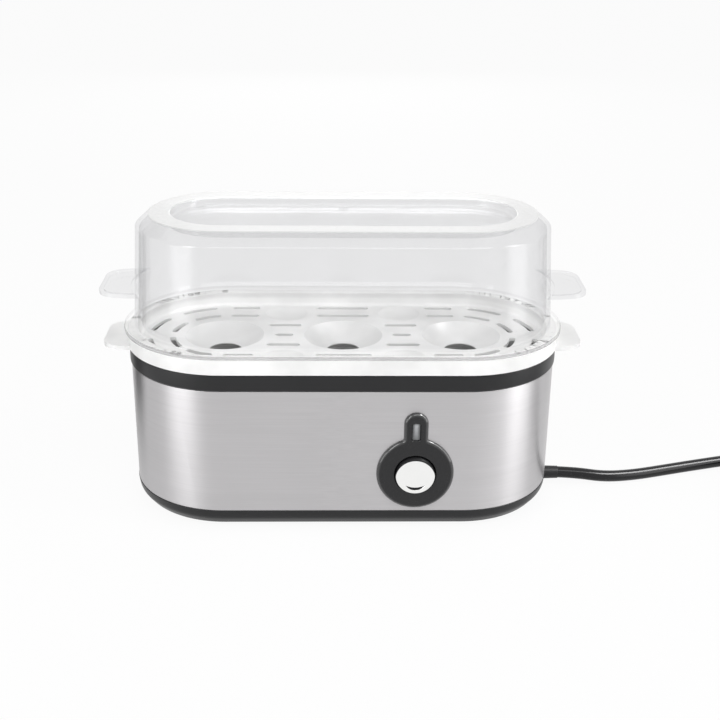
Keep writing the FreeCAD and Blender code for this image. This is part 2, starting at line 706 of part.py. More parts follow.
def make_strap_nut():
    """Hexagon nut on the strap's stud."""
    z = STRAP_TOP - STRAP_THICK - NUT_HEIGHT
    turns = [math.radians(60 * i) for i in range(7)]
    hexagon = [V(STRAP_X + NUT_R * math.cos(turn), NUT_R * math.sin(turn), z) for turn in turns]
    nut = Part.Face(Part.makePolygon(hexagon)).extrude(V(0, 0, NUT_HEIGHT))
    return one(nut.cut(rod(STUD_R + SNUG, (STRAP_X, 0, z - 1), (STRAP_X, 0, z + NUT_HEIGHT + 1))))


def cup_tools(x, y, opening, sphere, wall):
    """Cap that bulges under the tray's floor and the ball that hollows it, for a bowl of that opening."""
    centre = V(x, y, TRAY_FLOOR_TOP + math.sqrt(sphere ** 2 - opening ** 2))
    half = opening + 4
    low = TRAY_FLOOR_TOP - 2 * half
    room = block((x - half, y - half, low), (x + half, y + half, TRAY_FLOOR_BOTTOM + FIT))
    hollow = block((x - half, y - half, low), (x + half, y + half, TRAY_FLOOR_TOP + FIT))
    return Part.makeSphere(sphere + wall, centre).common(room), Part.makeSphere(sphere, centre).common(hollow)


def make_egg_tray():
    """White tray: channelled rim over the ring's lip, slotted floor, three egg cups and two end tabs."""
    tray = around([
        (SKIRT_R, SKIRT_BOTTOM), (SKIRT_R, RIM_TOP, 0.9), (TRAY_IN, RIM_TOP, 0.6),
        (TRAY_IN, TRAY_FLOOR_TOP, TRAY_ROUND), (0, TRAY_FLOOR_TOP), (0, TRAY_FLOOR_BOTTOM),
        (TRAY_OUT, TRAY_FLOOR_BOTTOM, TRAY_ROUND), (TRAY_OUT, LIP_TOP), (SKIRT_IN, LIP_TOP),
        (SKIRT_IN, SKIRT_BOTTOM)])
    cups = [cup_tools(x, 0, CUP_R, CUP_SPHERE_R, CUP_WALL) for x in (-CUP_PITCH, 0, CUP_PITCH)]
    dimple_sphere = (DIMPLE_R ** 2 + DIMPLE_DEPTH ** 2) / (2 * DIMPLE_DEPTH)
    dimples = both_ways([(DIMPLE_X, DIMPLE_Y)])
    cups += [cup_tools(x, y, DIMPLE_R, dimple_sphere, TRAY_FLOOR) for x, y in dimples]
    tabs = []
    for side in (1, -1):
        lug = tab(side, SKIRT_R, TRAY_TAB_REACH, TRAY_TAB_ROOT, TRAY_TAB_TIP, TRAY_TAB_THICK, SKIRT_BOTTOM)
        tabs.append(lug.cut(stadium(SKIRT_R - TRAY_WALL / 2, SKIRT_BOTTOM - 1, RIM_TOP)))
    low = TRAY_FLOOR_BOTTOM - 1
    high = TRAY_FLOOR_TOP + 1
    holes = [rod(CUP_HOLE_R, (x, 0, low - 10), (x, 0, high)) for x in (-CUP_PITCH, 0, CUP_PITCH)]
    outer = TRAY_IN - OUTER_TRACK_INSET
    for track in (outer, outer - TRACK_PITCH):
        side_slot = slot(SIDE_SLOT, SLOT_WIDTH, low, high)
        holes += [at(slot(MIDDLE_SLOT, SLOT_WIDTH, low, high), 0, y) for y in (-track, track)]
        holes += [at(side_slot, x, y) for x, y in both_ways([(SIDE_SLOT_X, track)])]
        for first, last in END_SLOT_ANGLES:
            for start, end in ((first, last), (-last, -first)):
                for side, turned in ((1, 0), (-1, 180)):
                    curve = arc_slot(track, turned + start, turned + end, SLOT_WIDTH, low, high)
                    holes.append(at(curve, side * END_CENTRE, 0))
    rung = slot(LADDER_LONG, SLOT_WIDTH, low, high)
    holes += [at(slot(LADDER_SHORT, SLOT_WIDTH, low, high), x, 0) for x in (-LADDER_X, LADDER_X)]
    holes += [at(rung, x, y) for x, y in both_ways([(LADDER_X, LADDER_PITCH)])]
    bowls = [ball for _, ball in cups]
    return one(tray.fuse([cap for cap, _ in cups] + tabs).cut(bowls + holes))


def make_lid_shell():
    """Clear lid: flanged foot, drafted wall, chamfered shoulder, recessed top with a steam vent, two tabs."""
    wall = LID_WALL
    lean = LID_DRAFT / LID_WALL_HEIGHT
    rib_r = TRAY_IN - FIT
    rib_in = rib_r - RIB_WALL
    flange_top = RIM_TOP + LID_FLANGE
    rib_top = flange_top + 2 * RIB_WALL
    foot_in = LID_FOOT_R - wall - (rib_top - RIM_TOP) * lean
    inner_top = LID_TOP - wall
    shell = around([
        (LID_FLANGE_R, RIM_TOP), (LID_FLANGE_R, flange_top, 0.5), (LID_FOOT_R, flange_top, 1.0),
        (LID_SHOULDER_R, LID_SHOULDER, 1.6), (LID_TOP_R, LID_TOP, 1.4), (RECESS_R, LID_TOP, 0.8),
        (RECESS_R - 0.4, RECESS_FLOOR, 0.8), (0, RECESS_FLOOR), (0, RECESS_FLOOR - wall),
        (RECESS_R + wall - 0.4, RECESS_FLOOR - wall, 1.2), (RECESS_R + wall, inner_top, 0.5),
        (LID_TOP_R - 0.8, inner_top, 1.0), (LID_SHOULDER_R - wall + 0.1, LID_SHOULDER - 0.8, 1.2),
        (foot_in, rib_top + wall, 0.8), (rib_in, rib_top), (rib_in, RIM_TOP - RIB_DEPTH),
        (rib_r, RIM_TOP - RIB_DEPTH), (rib_r, RIM_TOP)])
    low = RIM_TOP + LID_TAB_HEIGHT
    wall_r = LID_FOOT_R - (LID_TAB_HEIGHT + LID_TAB_THICK / 2) * lean
    tabs = []
    for side in (1, -1):
        lug = tab(side, LID_FOOT_R, LID_TAB_REACH, LID_TAB_ROOT, LID_TAB_TIP, LID_TAB_THICK, low)
        dish = tab(side, LID_FOOT_R, LID_TAB_REACH - TAB_RIM, LID_TAB_ROOT - TAB_RIM, LID_TAB_TIP - TAB_RIM,
                   LID_TAB_THICK, low + LID_TAB_THICK - TAB_DISH)
        dish = dish.cut(stadium(wall_r + TAB_RIM, low, low + 2 * LID_TAB_THICK))
        tabs.append(lug.cut([stadium(wall_r - wall / 2, low - 1, low + LID_TAB_THICK + 1), dish]))
    vent_y = RECESS_R - LID_VENT_INSET
    vent = rod(LID_VENT_R, (0, vent_y, RECESS_FLOOR - 2 * wall), (0, vent_y, LID_TOP))
    return one(shell.fuse(tabs).cut(vent))


def make_control_bezel():
    """Black keyhole-shaped bezel: bevelled face, collar round the button, lamp window and two posts."""
    disc = rod(BEZEL_R, (BUTTON_X, BEZEL_FACE, BUTTON_Z), (BUTTON_X, FRONT, BUTTON_Z))
    half = (STEM_TOP - STEM_WIDTH / 2 - BUTTON_Z) / 2
    stem = pill(half, STEM_WIDTH / 2, lambda u, v: V(BUTTON_X + v, FRONT, BUTTON_Z + half + u))
    body = one(disc.fuse(stem.extrude(V(0, -BEZEL_THICK, 0))))
    rim = [e for e in body.Edges if e.BoundBox.YMax < BEZEL_FACE + 0.01]
    body = body.makeChamfer(BEZEL_BEVEL, rim)
    collar_r = BUTTON_R + FIT + COLLAR_WALL
    collar = rod(collar_r, (BUTTON_X, FRONT - 0.5, BUTTON_Z), (BUTTON_X, COLLAR_BACK, BUTTON_Z))
    posts = []
    pilots = []
    for side in (1, -1):
        x = BUTTON_X + side * BEZEL_POST_X
        posts.append(rod(BEZEL_POST_R, (x, FRONT - 0.5, BUTTON_Z), (x, BRACKET_FRONT, BUTTON_Z)))
        pilots.append(rod(SMALL_SCREW_R + SNUG, (x, BRACKET_FRONT - SMALL_BITE - 1, BUTTON_Z),
                          (x, BRACKET_FRONT + 1, BUTTON_Z)))
    bore = rod(BUTTON_R + FIT, (BUTTON_X, BEZEL_FACE - 1, BUTTON_Z), (BUTTON_X, COLLAR_BACK + 1, BUTTON_Z))
    window = window_block(FIT / 3, BEZEL_FACE - 1, FRONT + 1)
    return one(body.fuse([collar] + posts).cut([bore, window] + pilots))


def window_block(grow, front, back):
    """Rounded upright block of the lamp window's outline, grown on every side."""
    half_w = WINDOW_WIDTH / 2 + grow
    half_h = WINDOW_HEIGHT / 2 + grow
    corners = [(BUTTON_X + sx * half_w, WINDOW_Z + sz * half_h, half_w * 0.6)
               for sx, sz in ((-1, -1), (1, -1), (1, 1), (-1, 1))]
    return Part.Face(rounded_wire(corners, lambda x, z: V(x, front, z))).extrude(V(0, back - front, 0))


def make_lamp_lens():
    """Clear lamp window with a flange behind the bezel."""
    face = window_block(0, BEZEL_FACE + 0.5, FRONT + LENS_DEPTH)
    flange = window_block(LENS_FLANGE, FRONT, FRONT + LENS_DEPTH)
    return one(face.fuse(flange))


def make_indicator_lamp():
    """Small glow lamp behind the lens."""
    start = FRONT + LENS_DEPTH
    body = rod(LAMP_R, (BUTTON_X, start, WINDOW_Z), (BUTTON_X, start + LAMP_LENGTH, WINDOW_Z))
    return body.makeFillet(1.0, [e for e in body.Edges if e.BoundBox.YMax < start + 0.01])


def make_push_button():
    """Round push button: dished face, retaining flange behind the collar, and a stem to the switch."""
    profile = [(0, BUTTON_FACE + BUTTON_DISH), (BUTTON_R * 0.75, BUTTON_FACE + BUTTON_DISH * 0.3),
               (BUTTON_R, BUTTON_FACE, 0.7), (BUTTON_R, FLANGE_FRONT), (BUTTON_FLANGE_R, FLANGE_FRONT),
               (BUTTON_FLANGE_R, FLANGE_BACK), (STEM_R, FLANGE_BACK), (STEM_R, STEM_END), (0, STEM_END)]
    wire = rounded_wire(profile, lambda r, y: V(BUTTON_X + r, y, BUTTON_Z))
    return one(Part.Face(wire).revolve(V(BUTTON_X, 0, BUTTON_Z), V(0, 1, 0), 360))


def make_button_spring():
    """Compression spring between the button's flange and the bracket."""
    start = FLANGE_BACK + SPRING_WIRE_R + SNUG
    length = SPRING_ROOM - 2 * SPRING_WIRE_R - 2 * SNUG

    def point_at(angle):
        share = angle / (2 * math.pi * SPRING_TURNS)
        return V(BUTTON_X + SPRING_R * math.cos(angle), start + length * share,
                 BUTTON_Z + SPRING_R * math.sin(angle))

    path, enter, heading, _ = winding_path(point_at, 2 * math.pi * SPRING_TURNS, 4 * SPRING_TURNS, 0.0)
    return one(tube(path, SPRING_WIRE_R, enter, heading))


def make_switch_bracket():
    """Steel plate screwed to the bezel's posts, which carries the switch."""
    half = BEZEL_POST_X + BEZEL_POST_R + 1.0
    corners = [(BUTTON_X + sx * half, BUTTON_Z + sz * BRACKET_HALF_HEIGHT, 3.0)
               for sx, sz in ((-1, -1), (1, -1), (1, 1), (-1, 1))]
    outline = rounded_wire(corners, lambda x, z: V(x, BRACKET_FRONT, z))
    sheet = Part.Face(outline).extrude(V(0, BRACKET_THICK, 0))
    near = BRACKET_FRONT - 1
    back = BRACKET_BACK + 1
    holes = [rod(STEM_R + FIT, (BUTTON_X, near, BUTTON_Z), (BUTTON_X, back, BUTTON_Z))]
    for side in (1, -1):
        x = BUTTON_X + side * BEZEL_POST_X
        holes.append(rod(SMALL_SCREW_R + SNUG, (x, near, BUTTON_Z), (x, back, BUTTON_Z)))
    return one(sheet.cut(holes))


def make_bracket_screws():
    """Two screws from behind, through the bracket into the bezel's posts."""
    seats = [(BUTTON_X + side * BEZEL_POST_X, BRACKET_BACK, BUTTON_Z) for side in (1, -1)]
    return screws(seats, SMALL_SCREW_R, SMALL_HEAD_R, SMALL_HEAD, BRACKET_THICK + SMALL_BITE, V(0, -1, 0))


def make_switch_body():
    """Moulded switch behind the bracket, with two connection blades."""
    low = (BUTTON_X - SWITCH_HALF_WIDTH, BRACKET_BACK, BUTTON_Z - SWITCH_HALF_HEIGHT)
    high = (BUTTON_X + SWITCH_HALF_WIDTH, BRACKET_BACK + SWITCH_DEPTH, BUTTON_Z + SWITCH_HALF_HEIGHT)
    body = block(low, high)
    body = body.makeFillet(1.2, [e for e in body.Edges if abs(e.tangentAt(e.FirstParameter).y) > 0.9])
    back = high[1]
    blades = [block((x - BLADE_HALF, back, BUTTON_Z - 3), (x + BLADE_HALF, back + BLADE_LENGTH, BUTTON_Z + 3))
              for x in (BUTTON_X - BLADE_APART, BUTTON_X + BLADE_APART)]
    return one(body.fuse(blades))


STEM_END = BRACKET_BACK - BUTTON_TRAVEL - FIT
WALL_X = END_CENTRE + NEST_R - UPSTAND_WALL
GROMMET_IN_X = WALL_X - GROMMET_INSIDE
INNER_CORD_END = GROMMET_IN_X - INNER_CORD_LENGTH
CLAMP_X = GROMMET_IN_X - INNER_CORD_LENGTH / 3
CLAMP_BOTTOM = CORD_Z + CORD_D / 2 + SNUG


def make_cord_grommet():
    """Strain relief: inner barrel, flange behind the base's wall, collar in the wall and a tapered nose."""
    tip = CORD_ROUTE[0][0]
    barrel = rod(GROMMET_BARREL_R, (GROMMET_IN_X, 0, CORD_Z), (WALL_X, 0, CORD_Z))
    flange = block((WALL_X - GROMMET_FLANGE - SNUG, -GROMMET_FLANGE_HALF, FOOT_DROP + TRENCH_FLOOR + SNUG),
                   (WALL_X - SNUG, GROMMET_FLANGE_HALF, BASE_TOP))
    collar = rod(GROMMET_R, (WALL_X - 1, 0, CORD_Z), (END_X, 0, CORD_Z))
    collar = collar.common(stadium(BASE_R - 0.5, FOOT_DROP + 0.1, BASE_TOP))
    nose = Part.makeCone(GROMMET_BARREL_R, GROMMET_TIP_R, tip - WALL_X, V(WALL_X, 0, CORD_Z), V(1, 0, 0))
    return one(barrel.fuse([flange, collar, nose]))


def make_inner_cord():
    """End of the cord's sheath inside the base, between the grommet and the terminal block."""
    return rod(CORD_D / 2, (INNER_CORD_END, 0, CORD_Z), (GROMMET_IN_X, 0, CORD_Z))


def make_cord_clamp():
    """Bar that holds the cord's sheath down."""
    corners = [(CLAMP_X + sx * CLAMP_WIDTH / 2, sy * CLAMP_HALF_SPAN, 2.0)
               for sx, sy in ((-1, -1), (1, -1), (1, 1), (-1, 1))]
    bar = plate(corners, CLAMP_BOTTOM, CLAMP_BOTTOM + CLAMP_THICK)
    holes = [rod(SMALL_SCREW_R + SNUG, (CLAMP_X, y, 0), (CLAMP_X, y, CLAMP_BOTTOM + 2 * CLAMP_THICK))
             for y in (-CLAMP_SCREW_Y, CLAMP_SCREW_Y)]
    return one(bar.cut(holes))


def make_clamp_screws():
    """Two screws that hold the clamp bar on its bosses."""
    seats = [(CLAMP_X, y, CLAMP_BOTTOM + CLAMP_THICK) for y in (-CLAMP_SCREW_Y, CLAMP_SCREW_Y)]
    return screws(seats, SMALL_SCREW_R, SMALL_HEAD_R, SMALL_HEAD, CLAMP_THICK + 4.0, V(0, 0, -1))


def make_terminal_block():
    """Moulded block on the base's floor where the cord's wires end, with two screw wells."""
    high_x = INNER_CORD_END - SNUG
    low_x = high_x - BLOCK_LENGTH
    top = FLOOR_TOP + BLOCK_HEIGHT
    body = block((low_x, -BLOCK_HALF_WIDTH, FLOOR_TOP), (high_x, BLOCK_HALF_WIDTH, top))
    body = body.makeFillet(1.0, [e for e in body.Edges if abs(e.tangentAt(e.FirstParameter).z) > 0.9])
    well_x = high_x - BLOCK_LENGTH / 3
    wells = [rod(2.0, (well_x, y, top - 5), (well_x, y, top + 1)) for y in (-4.5, 4.5)]
    return one(body.cut(wells))


def make_internal_leads():
    """Insulated leads: block, switch, thermostat, fuse and heater in series, and back to the block."""
    block_x = INNER_CORD_END - SNUG - BLOCK_LENGTH + 4.0
    block_z = FLOOR_TOP + BLOCK_HEIGHT
    blade_y = BRACKET_BACK + SWITCH_DEPTH + BLADE_LENGTH
    blade_z = SPREADER_BOTTOM - THERMOSTAT_HEIGHT - BLADE_LENGTH
    fuse_z = SPREADER_BOTTOM - FUSE_R
    left = FUSE_X - FUSE_LENGTH / 2
    right = FUSE_X + FUSE_LENGTH / 2
    pin_x = ELEMENT_END_X - ELEMENT_TURN_R
    pin_z = ELEMENT_Z - ELEMENT_TURN_R - ELEMENT_DROP - PIN_LENGTH
    bend = ELEMENT_BEND
    switch_x = BUTTON_X + BLADE_APART
    return_x = BUTTON_X - BLADE_APART
    near_x = THERMOSTAT_X + BLADE_APART
    far_x = THERMOSTAT_X - BLADE_APART
    loop_z = blade_z - 6.5
    turn_x = right + 5
    to_switch = (
        (block_x, 5, block_z), (block_x, 5, block_z + 9), (switch_x + 2.5, 1, BUTTON_Z),
        (switch_x, blade_y + 6, BUTTON_Z), (switch_x, blade_y, BUTTON_Z))
    to_thermostat = (
        (return_x, blade_y, BUTTON_Z), (return_x, blade_y + 7, BUTTON_Z), (near_x + 4, 0, blade_z - 10.5),
        (near_x, 0, blade_z - 5.5), (near_x, 0, blade_z))
    to_fuse = (
        (far_x, 0, blade_z), (far_x, 0, loop_z), (turn_x, 0, loop_z), (turn_x, 0, fuse_z), (right, 0, fuse_z))
    to_heater = (
        (left, 0, fuse_z), (left - 4, 0, fuse_z), (left - 12, -8.2, fuse_z - 1.4),
        (left - 22, -9, fuse_z - 2.6),
        (pin_x + 12, 6 - bend, pin_z + 20), (pin_x + 10, 5 - bend, pin_z), (pin_x + 8.5, 4 - bend, pin_z - 9),
        (pin_x + 4.5, 1.8 - bend, pin_z - 12.5), (pin_x, -bend, pin_z - 8), (pin_x, -bend, pin_z))
    to_block = (
        (block_x, -5, block_z), (block_x, -5, block_z + 5), (block_x - 10, 3, block_z + 7),
        (8, 5.5, block_z + 5.5), (-20, 10, block_z + 2), (pin_x + 13, bend - 3.5, pin_z - 12.7),
        (pin_x + 5, bend - 1.5, pin_z - 12.5),
        (pin_x, bend, pin_z - 8), (pin_x, bend, pin_z))
    runs = (to_switch, to_thermostat, to_fuse, to_heater, to_block)
    return Part.Compound([cord_tube(points, LEAD_R, "lead") for points in runs])


def coil_shape():
    """The coil's formula, as a function of the angle wound, with that whole angle and the coil's middle."""
    end = V(*CORD_ROUTE[-1])
    heading = (end - V(*CORD_ROUTE[-2])).normalize()
    lean = math.atan(COIL_STEP / (2 * math.pi) / COIL_OUTER_R)
    first = math.atan2(heading.y, heading.x) + math.pi / 2 + lean
    middle = end + heading * CORD_D - V(math.cos(first), math.sin(first), 0) * COIL_OUTER_R
    whole = first + lean - (math.radians(TAIL_HEADING) + math.pi / 2) + 2 * math.pi * COIL_TURNS
    layer = (whole - math.pi) / 2
    inner = COIL_OUTER_R - COIL_STEP * layer / (2 * math.pi)

    def point_at(angle):
        turned = angle - layer
        if turned < 0:
            radius = inner - COIL_STEP * turned / (2 * math.pi)
            rise = 0.0
        elif turned < math.pi:
            radius = inner - COIL_STEP / (2 * math.pi) * (turned - turned ** 2 / math.pi)
            rise = COIL_STEP * (1 - math.cos(turned)) / 2
        else:
            radius = inner + COIL_STEP * (turned - math.pi) / (2 * math.pi)
            rise = COIL_STEP
        spoke = first - angle
        return middle + V(radius * math.cos(spoke), radius * math.sin(spoke), rise)

    return point_at, whole, middle


COIL_POINT, COIL_ANGLE, COIL_MIDDLE = coil_shape()
COIL_PATH, COIL_ENTER, COIL_HEADING, COIL_LEAVE = winding_path(
    COIL_POINT, COIL_ANGLE, 4 * COIL_TURNS + 2, CORD_D)
TAIL_POINTS = [tuple(COIL_LEAVE + V(*p)) for p in TAIL_ROUTE]


def make_power_cord():
    """Free stretch of the mains cord, from the strain relief to the coil."""
    return cord_tube(CORD_ROUTE, CORD_D / 2, "power_cord")


def make_cord_coil():
    """Coil of the put-away length, one unbroken tube in two layers."""
    solid = one(tube(COIL_PATH, CORD_D / 2, COIL_ENTER, COIL_HEADING))
    share = solid.Volume / (math.pi * CORD_D ** 2 / 4 * COIL_PATH.Length)
    print("cord_coil length %.1f" % COIL_PATH.Length, "share %.4f" % share,
          "least gap to itself %.2f" % own_gap(COIL_PATH, CORD_D))
    return solid


def make_cord_tail():
    """Short stretch from the coil to the plug."""
    return cord_tube(TAIL_POINTS, CORD_D / 2, "cord_tail")


def make_cord_tie():
    """Band round the bundle of turns, on the table under the coil."""
    strands = []
    for turn in range(COIL_TURNS + 1):
        for lean in (-6, 0, 6):
            angle = math.radians(TIE_TURN + 360 * turn + lean)
            if angle < COIL_ANGLE:
                strands.append(COIL_POINT(angle) - COIL_MIDDLE)
    clear = CORD_D / 2 + TIE_ROOM
    spread = [math.hypot(p.x, p.y) for p in strands]
    low_r = min(spread) - clear
    high_r = max(spread) + clear
    low_z = TIE_THICK
    high_z = COIL_MIDDLE.z + max(p.z for p in strands) + clear

    def loop(grow):
        corners = [(low_r - grow, low_z - grow, 2.0), (high_r + grow, low_z - grow, 2.0),
                   (high_r + grow, high_z + grow, 2.0), (low_r - grow, high_z + grow, 2.0)]
        wire = rounded_wire(corners, lambda r, z: V(r, -TIE_WIDTH / 2, z))
        return Part.Face(wire).extrude(V(0, TIE_WIDTH, 0))

    band = one(loop(TIE_THICK).cut(loop(0.0)))
    aim = COIL_POINT(math.radians(TIE_TURN)) - COIL_MIDDLE
    band.rotate(V(0, 0, 0), UP, math.degrees(math.atan2(aim.y, aim.x)))
    return at(band, COIL_MIDDLE.x, COIL_MIDDLE.y)


def plug_place(shape):
    """Turn a shape built along +X from the origin to where the tail ends, along the tail's last run."""
    heading = V(*TAIL_POINTS[-1]) - V(*TAIL_POINTS[-2])
    shape.rotate(V(0, 0, 0), UP, math.degrees(math.atan2(heading.y, heading.x)))
    return shape.translated(V(*TAIL_POINTS[-1]))


def plug_pin_rods(grow, start):
    """The plug's two round pins, from the given depth, each grown in radius."""
    tip = PLUG_NECK + PLUG_LENGTH + PLUG_PIN_LENGTH
    return [rod(PLUG_PIN_R + grow, (start, y, 0), (tip, y, 0)) for y in (-PLUG_PIN_Y, PLUG_PIN_Y)]


def make_plug_body():
    """Flat moulded plug with a tapered neck."""
    back = PLUG_NECK
    face = PLUG_NECK + PLUG_LENGTH
    shoulder = back + PLUG_SHOULDER
    corners = [(back, -PLUG_BACK_HALF, 2.0), (shoulder, -PLUG_HALF_WIDTH, 5.0), (face, -PLUG_HALF_WIDTH, 2.5),
               (face, PLUG_HALF_WIDTH, 2.5), (shoulder, PLUG_HALF_WIDTH, 5.0), (back, PLUG_BACK_HALF, 2.0)]
    body = plate(corners, -PLUG_HALF_THICK, PLUG_HALF_THICK)
    rims = [e for e in body.Edges if abs(e.BoundBox.ZMax - e.BoundBox.ZMin) < 0.01]
    body = body.makeFillet(PLUG_ROUND, rims)
    neck = Part.makeCone(CORD_D / 2 + 0.4, PLUG_NECK_R, PLUG_NECK + 2, V(0, 0, 0), V(1, 0, 0))
    seats = plug_pin_rods(SNUG, face - PLUG_PIN_SEAT)
    return plug_place(one(body.fuse(neck).cut(seats)))


def make_plug_pins():
    """Two round pins seated in the plug's face."""
    pins = []
    for pin in plug_pin_rods(0.0, PLUG_NECK + PLUG_LENGTH - PLUG_PIN_SEAT):
        tip = [e for e in pin.Edges if e.BoundBox.XMin > PLUG_NECK + PLUG_LENGTH + 1]
        pins.append(plug_place(pin.makeFillet(1.2, tip)))
    return Part.Compound(pins)


PIECES = {
    "lid_shell": make_lid_shell,
    "egg_tray": make_egg_tray,
    "upper_ring": make_upper_ring,
    "bowl_seal": make_bowl_seal,
    "water_bowl": make_water_bowl,
    "heat_spreader": make_heat_spreader,
    "heating_element": make_heating_element,
    "element_pins": make_element_pins,
    "thermostat": make_thermostat,
    "thermostat_screws": make_thermostat_screws,
    "thermal_fuse": make_thermal_fuse,
    "bowl_strap": make_bowl_strap,
    "strap_nut": make_strap_nut,
    "steel_sleeve": make_steel_sleeve,
    "lower_housing": make_lower_housing,
    "housing_screws": make_housing_screws,
    "rubber_feet": make_rubber_feet,
    "control_bezel": make_control_bezel,
    "lamp_lens": make_lamp_lens,
    "indicator_lamp": make_indicator_lamp,
    "push_button": make_push_button,
    "button_spring": make_button_spring,
    "switch_bracket": make_switch_bracket,
    "bracket_screws": make_bracket_screws,
    "switch_body": make_switch_body,
    "terminal_block": make_terminal_block,
    "internal_leads": make_internal_leads,
    "inner_cord": make_inner_cord,
    "cord_clamp": make_cord_clamp,
    "clamp_screws": make_clamp_screws,
    "cord_grommet": make_cord_grommet,
    "power_cord": make_power_cord,
    "cord_coil": make_cord_coil,
    "cord_tail": make_cord_tail,
    "cord_tie": make_cord_tie,
    "plug_body": make_plug_body,
    "plug_pins": make_plug_pins,
}

os.makedirs("parts", exist_ok=True)
for node, make in PIECES.items():
    shape = make()
    if not shape.isValid() or shape.Volume <= 0:
        raise ValueError("%s is not a sound solid" % node)
    shape.exportStep("parts/%s.step" % node)
    print(node, len(shape.Solids), "solids", "%.0f mm3" % shape.Volume)
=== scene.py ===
"""Looks of a three-egg steam cooker: fine shells, finishes, its cord and a plain studio."""
import math

import bmesh
import bpy
from bpy.props import FloatProperty, FloatVectorProperty, IntProperty, PointerProperty
from mathutils import Matrix, Vector


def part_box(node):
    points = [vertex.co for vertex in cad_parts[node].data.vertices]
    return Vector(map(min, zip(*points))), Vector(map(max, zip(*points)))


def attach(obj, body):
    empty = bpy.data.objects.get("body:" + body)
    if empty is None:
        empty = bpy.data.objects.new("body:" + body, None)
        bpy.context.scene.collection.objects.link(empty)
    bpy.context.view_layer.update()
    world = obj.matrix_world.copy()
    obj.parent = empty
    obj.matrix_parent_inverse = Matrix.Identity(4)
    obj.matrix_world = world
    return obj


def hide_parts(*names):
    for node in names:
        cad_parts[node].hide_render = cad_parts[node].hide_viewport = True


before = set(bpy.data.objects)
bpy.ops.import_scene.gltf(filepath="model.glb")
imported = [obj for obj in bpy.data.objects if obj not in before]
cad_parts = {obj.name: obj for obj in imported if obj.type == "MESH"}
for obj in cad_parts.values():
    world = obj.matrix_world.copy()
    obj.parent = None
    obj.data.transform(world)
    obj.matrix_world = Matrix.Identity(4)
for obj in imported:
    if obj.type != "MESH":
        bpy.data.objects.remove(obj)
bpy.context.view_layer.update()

bl_info = {
    "name": "Egg Cooker Looks",
    "version": (1, 0, 0),
    "blender": (4, 5, 0),
    "location": "View3D > Sidebar > Cooker",
    "description": "Dresses the egg cooker's frame with fine shells, finishes, its cord and a studio",
    "category": "Object",
}

MM = 0.001
WELD = 0.001 * MM
SLIVER = 0.0001 * MM
ON_AXIS = 1e-6 * MM
SHARP = 32.0
QUARTER = [k * math.pi / 16 for k in range(9)]
WHITE = (1.0, 1.0, 1.0)

# Rays that show the background: from the eye, by gloss, or through clear plastic.
SEEN = ("Is Camera Ray", "Is Glossy Ray", "Is Transmission Ray")

# The thumb mark lies between two circles, each a level of its middle and a radius.
MARK_OUTER = (-2.4 * MM, 5.1 * MM)
MARK_INNER = (3.25 * MM, 9.35 * MM)
CREST_DROP = 1.3 * MM


def button_marks(across, up, radius):
    """How far a point lies past the thumb mark's two circles and past the crest."""
    def away(level):
        rise = up - level
        return (across * across + rise * rise) ** 0.5

    outer = away(MARK_OUTER[0]) - MARK_OUTER[1]
    inner = MARK_INNER[1] - away(MARK_INNER[0])
    return outer, inner, away(-CREST_DROP) - radius


def reach(node):
    """Half width, lowest and highest level of a frame node."""
    low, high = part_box(node)
    return high.y, low.z, high.z


SLEEVE_R, SLEEVE_LOW, SLEEVE_HIGH = reach("steel_sleeve")
RING_R, _, LIP_TOP = reach("upper_ring")
BASE_R, BASE_LOW, _ = reach("lower_housing")
SKIRT_R, _, RIM_TOP = reach("egg_tray")
LID_R, _, LID_TOP = reach("lid_shell")
BOWL_R, BOWL_LOW, BOWL_HIGH = reach("water_bowl")
END_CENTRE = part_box("steel_sleeve")[1].x - SLEEVE_R
BUTTON_LOW, BUTTON_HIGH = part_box("push_button")
BUTTON_MID = (BUTTON_LOW + BUTTON_HIGH) / 2
LENS_LOW, LENS_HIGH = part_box("lamp_lens")
LENS_MID = (LENS_LOW + LENS_HIGH) / 2
BEZEL_LOW, BEZEL_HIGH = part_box("control_bezel")


def length(name, description, default):
    """A size property, given in millimetres and kept in metres."""
    return FloatProperty(name=name, description=description, default=default * MM, min=0.0,
                         unit="LENGTH", subtype="DISTANCE", precision=4)


def colour(name, description, default):
    """A colour property, in linear light."""
    return FloatVectorProperty(name=name, description=description, default=default, size=3,
                               min=0.0, max=1.0, subtype="COLOR")


def angle(name, description, default):
    """An angle property, in radians."""
    return FloatProperty(name=name, description=description, default=default, subtype="ANGLE")


def power(name, description, default):
    """A lamp's power property, in watts."""
    return FloatProperty(name=name, description=description, default=default, unit="POWER")


class CookerSizes(bpy.types.PropertyGroup):
    """Sizes of the shells that a user may want to change."""
    end_steps: IntProperty(name="End steps", description="Steps round each round end", default=64, min=12)
    side_steps: IntProperty(name="Side steps", description="Steps along each side", default=10, min=2)
    tray_wall: length("Tray wall", "Thickness of the tray's rim and skirt", 1.6)
    ring_band: length("Ring band", "Visible height of the black ring", 8.2)
    cup_pitch: length("Cup pitch", "Distance between neighbouring egg cups", 57.4)
    cup_radius: length("Cup radius", "Radius of a cup's mouth", 19.0)
    cup_hole: length("Cup hole", "Radius of the hole in a cup's bottom", 8.0)
    cup_ball: length("Cup ball", "Radius of the ball that a cup is hollowed by", 30.0)
    cup_thinner: length("Cup lip", "How much thinner a cup is at its hole", 1.2)
    tray_depth: length("Tray depth", "Depth of the tray's floor below its rim", 6.6)
    cup_deeper: length("Cup drop", "How far a cup's bottom is drawn down", 1.8)
    button_radius: length("Button radius", "Radius of the push button's face", 9.2)
    cord_diameter: length("Cord diameter", "Thickness of the mains cord", 5.8)


